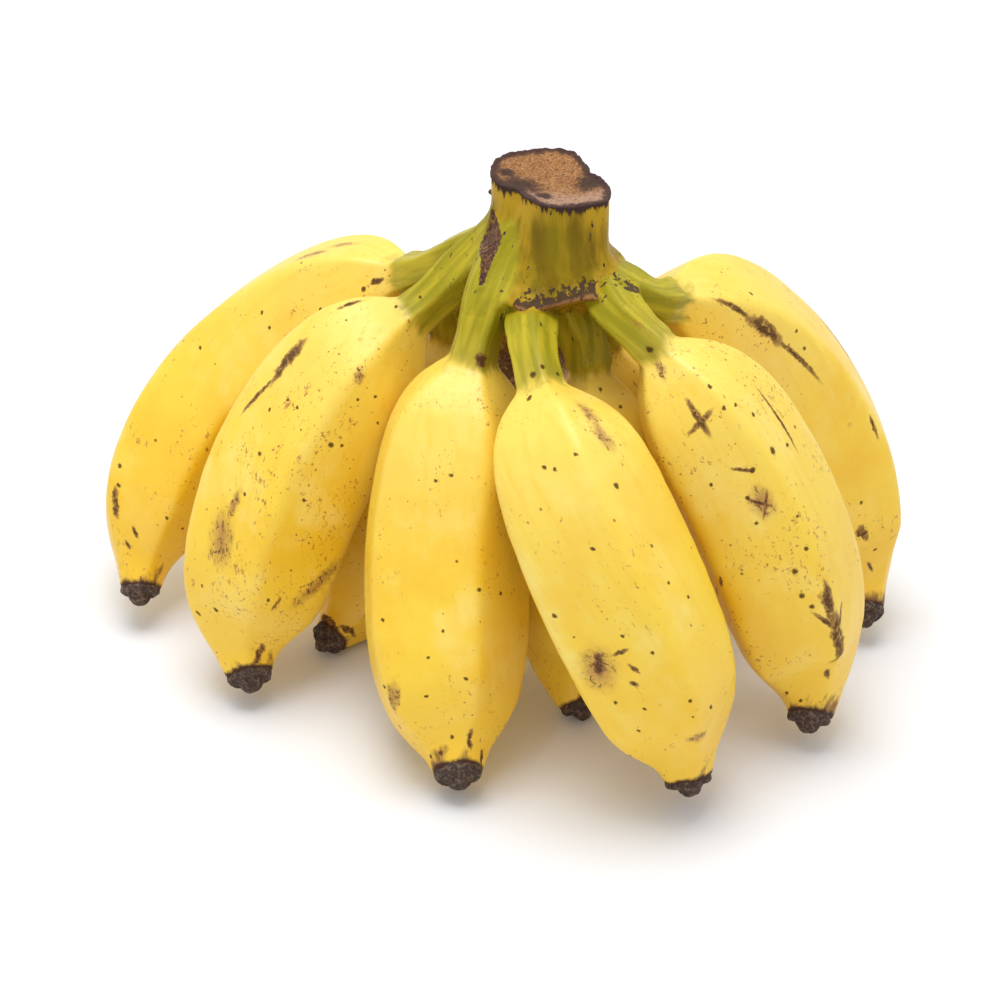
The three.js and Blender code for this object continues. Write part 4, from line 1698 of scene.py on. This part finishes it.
    def _store_limbs(self, piece: bpy.types.Object, points: Array, neck: Array) -> None:
        """Keeps each vertex's place on the nearest limb, as the finger's skin has it.

        Args:
            piece: the crown.
            points: its vertices in the hand's millimetres.
            neck: their distance from the uncut neck.
        """
        gaps, places = zip(*(self._limb(finger, points) for finger in FINGERS))
        nearest = np.argmin(np.array(gaps), axis=0)
        place = np.array(places)[nearest, np.arange(len(points))]
        stalks, bodies, seeds = (
            np.array(values)[nearest]
            for values in zip(*((finger.form.stalk, finger.form.body, finger.seed) for finger in FINGERS)))
        store(piece, "stalk", smooth_step(0.3, 2.5, neck))
        store(piece, "limb_place", place - stalks[:, None] * (0, 0, 1) + seeds[:, None] * PATTERN_STEP)
        store(piece, "along", (place[:, 2] - stalks) / bodies)

    def _settle(self, points: Array) -> tuple[Array, Array]:
        """Moves points along the surface's slope onto it.

        Args:
            points: places near the surface.

        Returns:
            The places moved, and the slope where they were.
        """
        nudge = 0.05
        here = self.distance(points)
        rises = [self.distance(points + nudge * axis) - here for axis in np.eye(3)]
        slope = np.stack(rises, axis=-1) / nudge
        move = here[:, None] * slope / np.maximum((slope**2).sum(axis=1), 0.2)[:, None]
        return points - np.clip(move, -self.grain / 2, self.grain / 2), slope

    def dress(self, piece: bpy.types.Object, material: bpy.types.Material) -> None:
        """Gives the crown its material and puts it in the place of the solid one.

        Args:
            piece: the crown.
            material: what it is made of.
        """
        piece.data.materials.append(material)
        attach(piece, BODY)
        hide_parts("crown")


# ---------------------------------------------------------------- studio


@dataclass(frozen=True)
class Studio:
    """White table, soft light and the camera."""

    floor_reach: float = 6.0
    floor_grey: float = 0.88  # what lights the fruit from below
    floor_white: Colour = (0.88, 0.9, 0.945)  # what is seen
    floor_roughness: float = 0.6
    floor_shine: float = 0.2
    world_strength: float = 0.75
    key_size: float = 0.7
    key_place: Point = (-0.08, 0.05, 1.1)  # in metres, as its aim is
    key_aim: Point = (0, 0, 0.05)
    key_power: float = 7.5
    elevation: float = 32.0
    camera_distance: float = 0.75
    lens: float = 116.4
    target: Point = (0, 0, 48.5)  # what the camera goes round, in the hand's millimetres
    aim: Point = (0, -3.3, 43.2)  # where it points

    def build(self, shift: Array) -> None:
        """Makes the floor, the world, the lamps and the camera.

        Args:
            shift: move from the hand's own frame to the row's, in millimetres.
        """
        self._floor()
        self._world()
        self._lamps()
        self._camera(shift)

    @staticmethod
    def _seen(graph: Graph) -> Value:
        """Mask of what the camera sees directly, in a reflection or through something clear."""
        path = graph.node("LightPath").outputs
        return graph.largest(*(path[f"Is {kind} Ray"] for kind in ("Camera", "Glossy", "Transmission")))

    def _floor(self) -> None:
        """Pale floor that looks white where nothing shades it."""
        reach = self.floor_reach
        square = np.array([(x * reach, y * reach, 0) for x, y in ((-1, -1), (1, -1), (1, 1), (-1, 1))])
        floor = make_object("table_top", square, [(0, 1, 2, 3)])
        surface = Surface("white_table")
        colour = surface.graph.layers(
            (self.floor_grey,) * 3, (self.floor_white, self._seen(surface.graph), 1))
        floor.data.materials.append(surface.finish(
            Base_Color=colour, Roughness=self.floor_roughness, Specular_IOR_Level=self.floor_shine))

    def _world(self) -> None:
        """Even white surroundings."""
        world = bpy.data.worlds.new("white_room")
        world.use_nodes = True
        graph = Graph(world.node_tree)
        background = world.node_tree.nodes["Background"]
        strength = graph.scaled(self._seen(graph), 1.0 - self.world_strength, self.world_strength)
        graph.feed_named(background.inputs, Color=(1, 1, 1), Strength=strength)
        bpy.context.scene.world = world

    def _lamps(self) -> None:
        """Large soft lamp overhead."""
        data = bpy.data.lights.new("key", "AREA")
        data.shape = "SQUARE"
        data.size = self.key_size
        data.energy = self.key_power
        lamp = bpy.data.objects.new("key", data)
        lamp.location = self.key_place
        lamp.rotation_euler = (Vector(self.key_aim) - lamp.location).to_track_quat("-Z", "Y").to_euler()
        bpy.context.scene.collection.objects.link(lamp)

    def _camera(self, shift: Array) -> None:
        """Camera at the front, above the table.

        Args:
            shift: move from the hand's own frame to the row's, in millimetres.
        """
        data = bpy.data.cameras.new("camera")
        data.lens = self.lens
        camera = bpy.data.objects.new("camera", data)
        tilt = math.radians(self.elevation)
        target = Vector((np.array(self.target) + shift) * MM)
        aim = Vector((np.array(self.aim) + shift) * MM)
        camera.location = target + self.camera_distance * Vector((0, -math.cos(tilt), math.sin(tilt)))
        camera.rotation_euler = (aim - camera.location).to_track_quat("-Z", "Y").to_euler()
        bpy.context.scene.collection.objects.link(camera)
        bpy.context.scene.camera = camera


# ---------------------------------------------------------------- the whole hand


def hand_shift() -> Array:
    """Move from the hand's own frame to the row's, from the boxes of the solid fruits.

    Returns:
        The move in millimetres.
    """
    moves = []
    for finger in FINGERS:
        rings = finger.solid_rings()[:, :2]
        low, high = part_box("finger_" + finger.number)
        middle = np.array((low + high)[:2]) / 2 / MM
        moves.append(middle - (rings.min(axis=0) + rings.max(axis=0)) / 2)
    return np.append(np.median(moves, axis=0), 0)


def corners(bounds: tuple[Vector, Vector]) -> list[list[float]]:
    """Box as plain lists of numbers."""
    return [list(corner) for corner in bounds]


def main() -> None:
    """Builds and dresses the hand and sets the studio."""
    logging.basicConfig(level=logging.INFO, format="%(message)s")
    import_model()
    shift = hand_shift()
    LOG.info("hand shifted by %s mm", np.round(shift, 3))
    scene = bpy.context.scene
    scene.view_settings.view_transform = "Standard"

    effects = Effects()
    peel = PeelFinish()
    crown = Crown()
    piece = crown.build(shift)
    crown.dress(piece, CrownFinish().material(effects, peel))
    LOG.info("%s: %d faces", piece.name, len(piece.data.polygons))
    dried = FlowerEndFinish().material(effects)
    for finger in FINGERS:
        skin = finger.build(shift)
        finger.dress(skin, peel, effects)
        flower = FlowerEnd(finger.number)
        end = flower.build(shift)
        flower.dress(end, dried)
        LOG.info("%s: %d faces, %s: %d faces", skin.name, len(skin.data.polygons), end.name,
                 len(end.data.polygons))
    Studio().build(shift)
    LOG.info("studio is set")


if __name__ == "__main__":
    main()
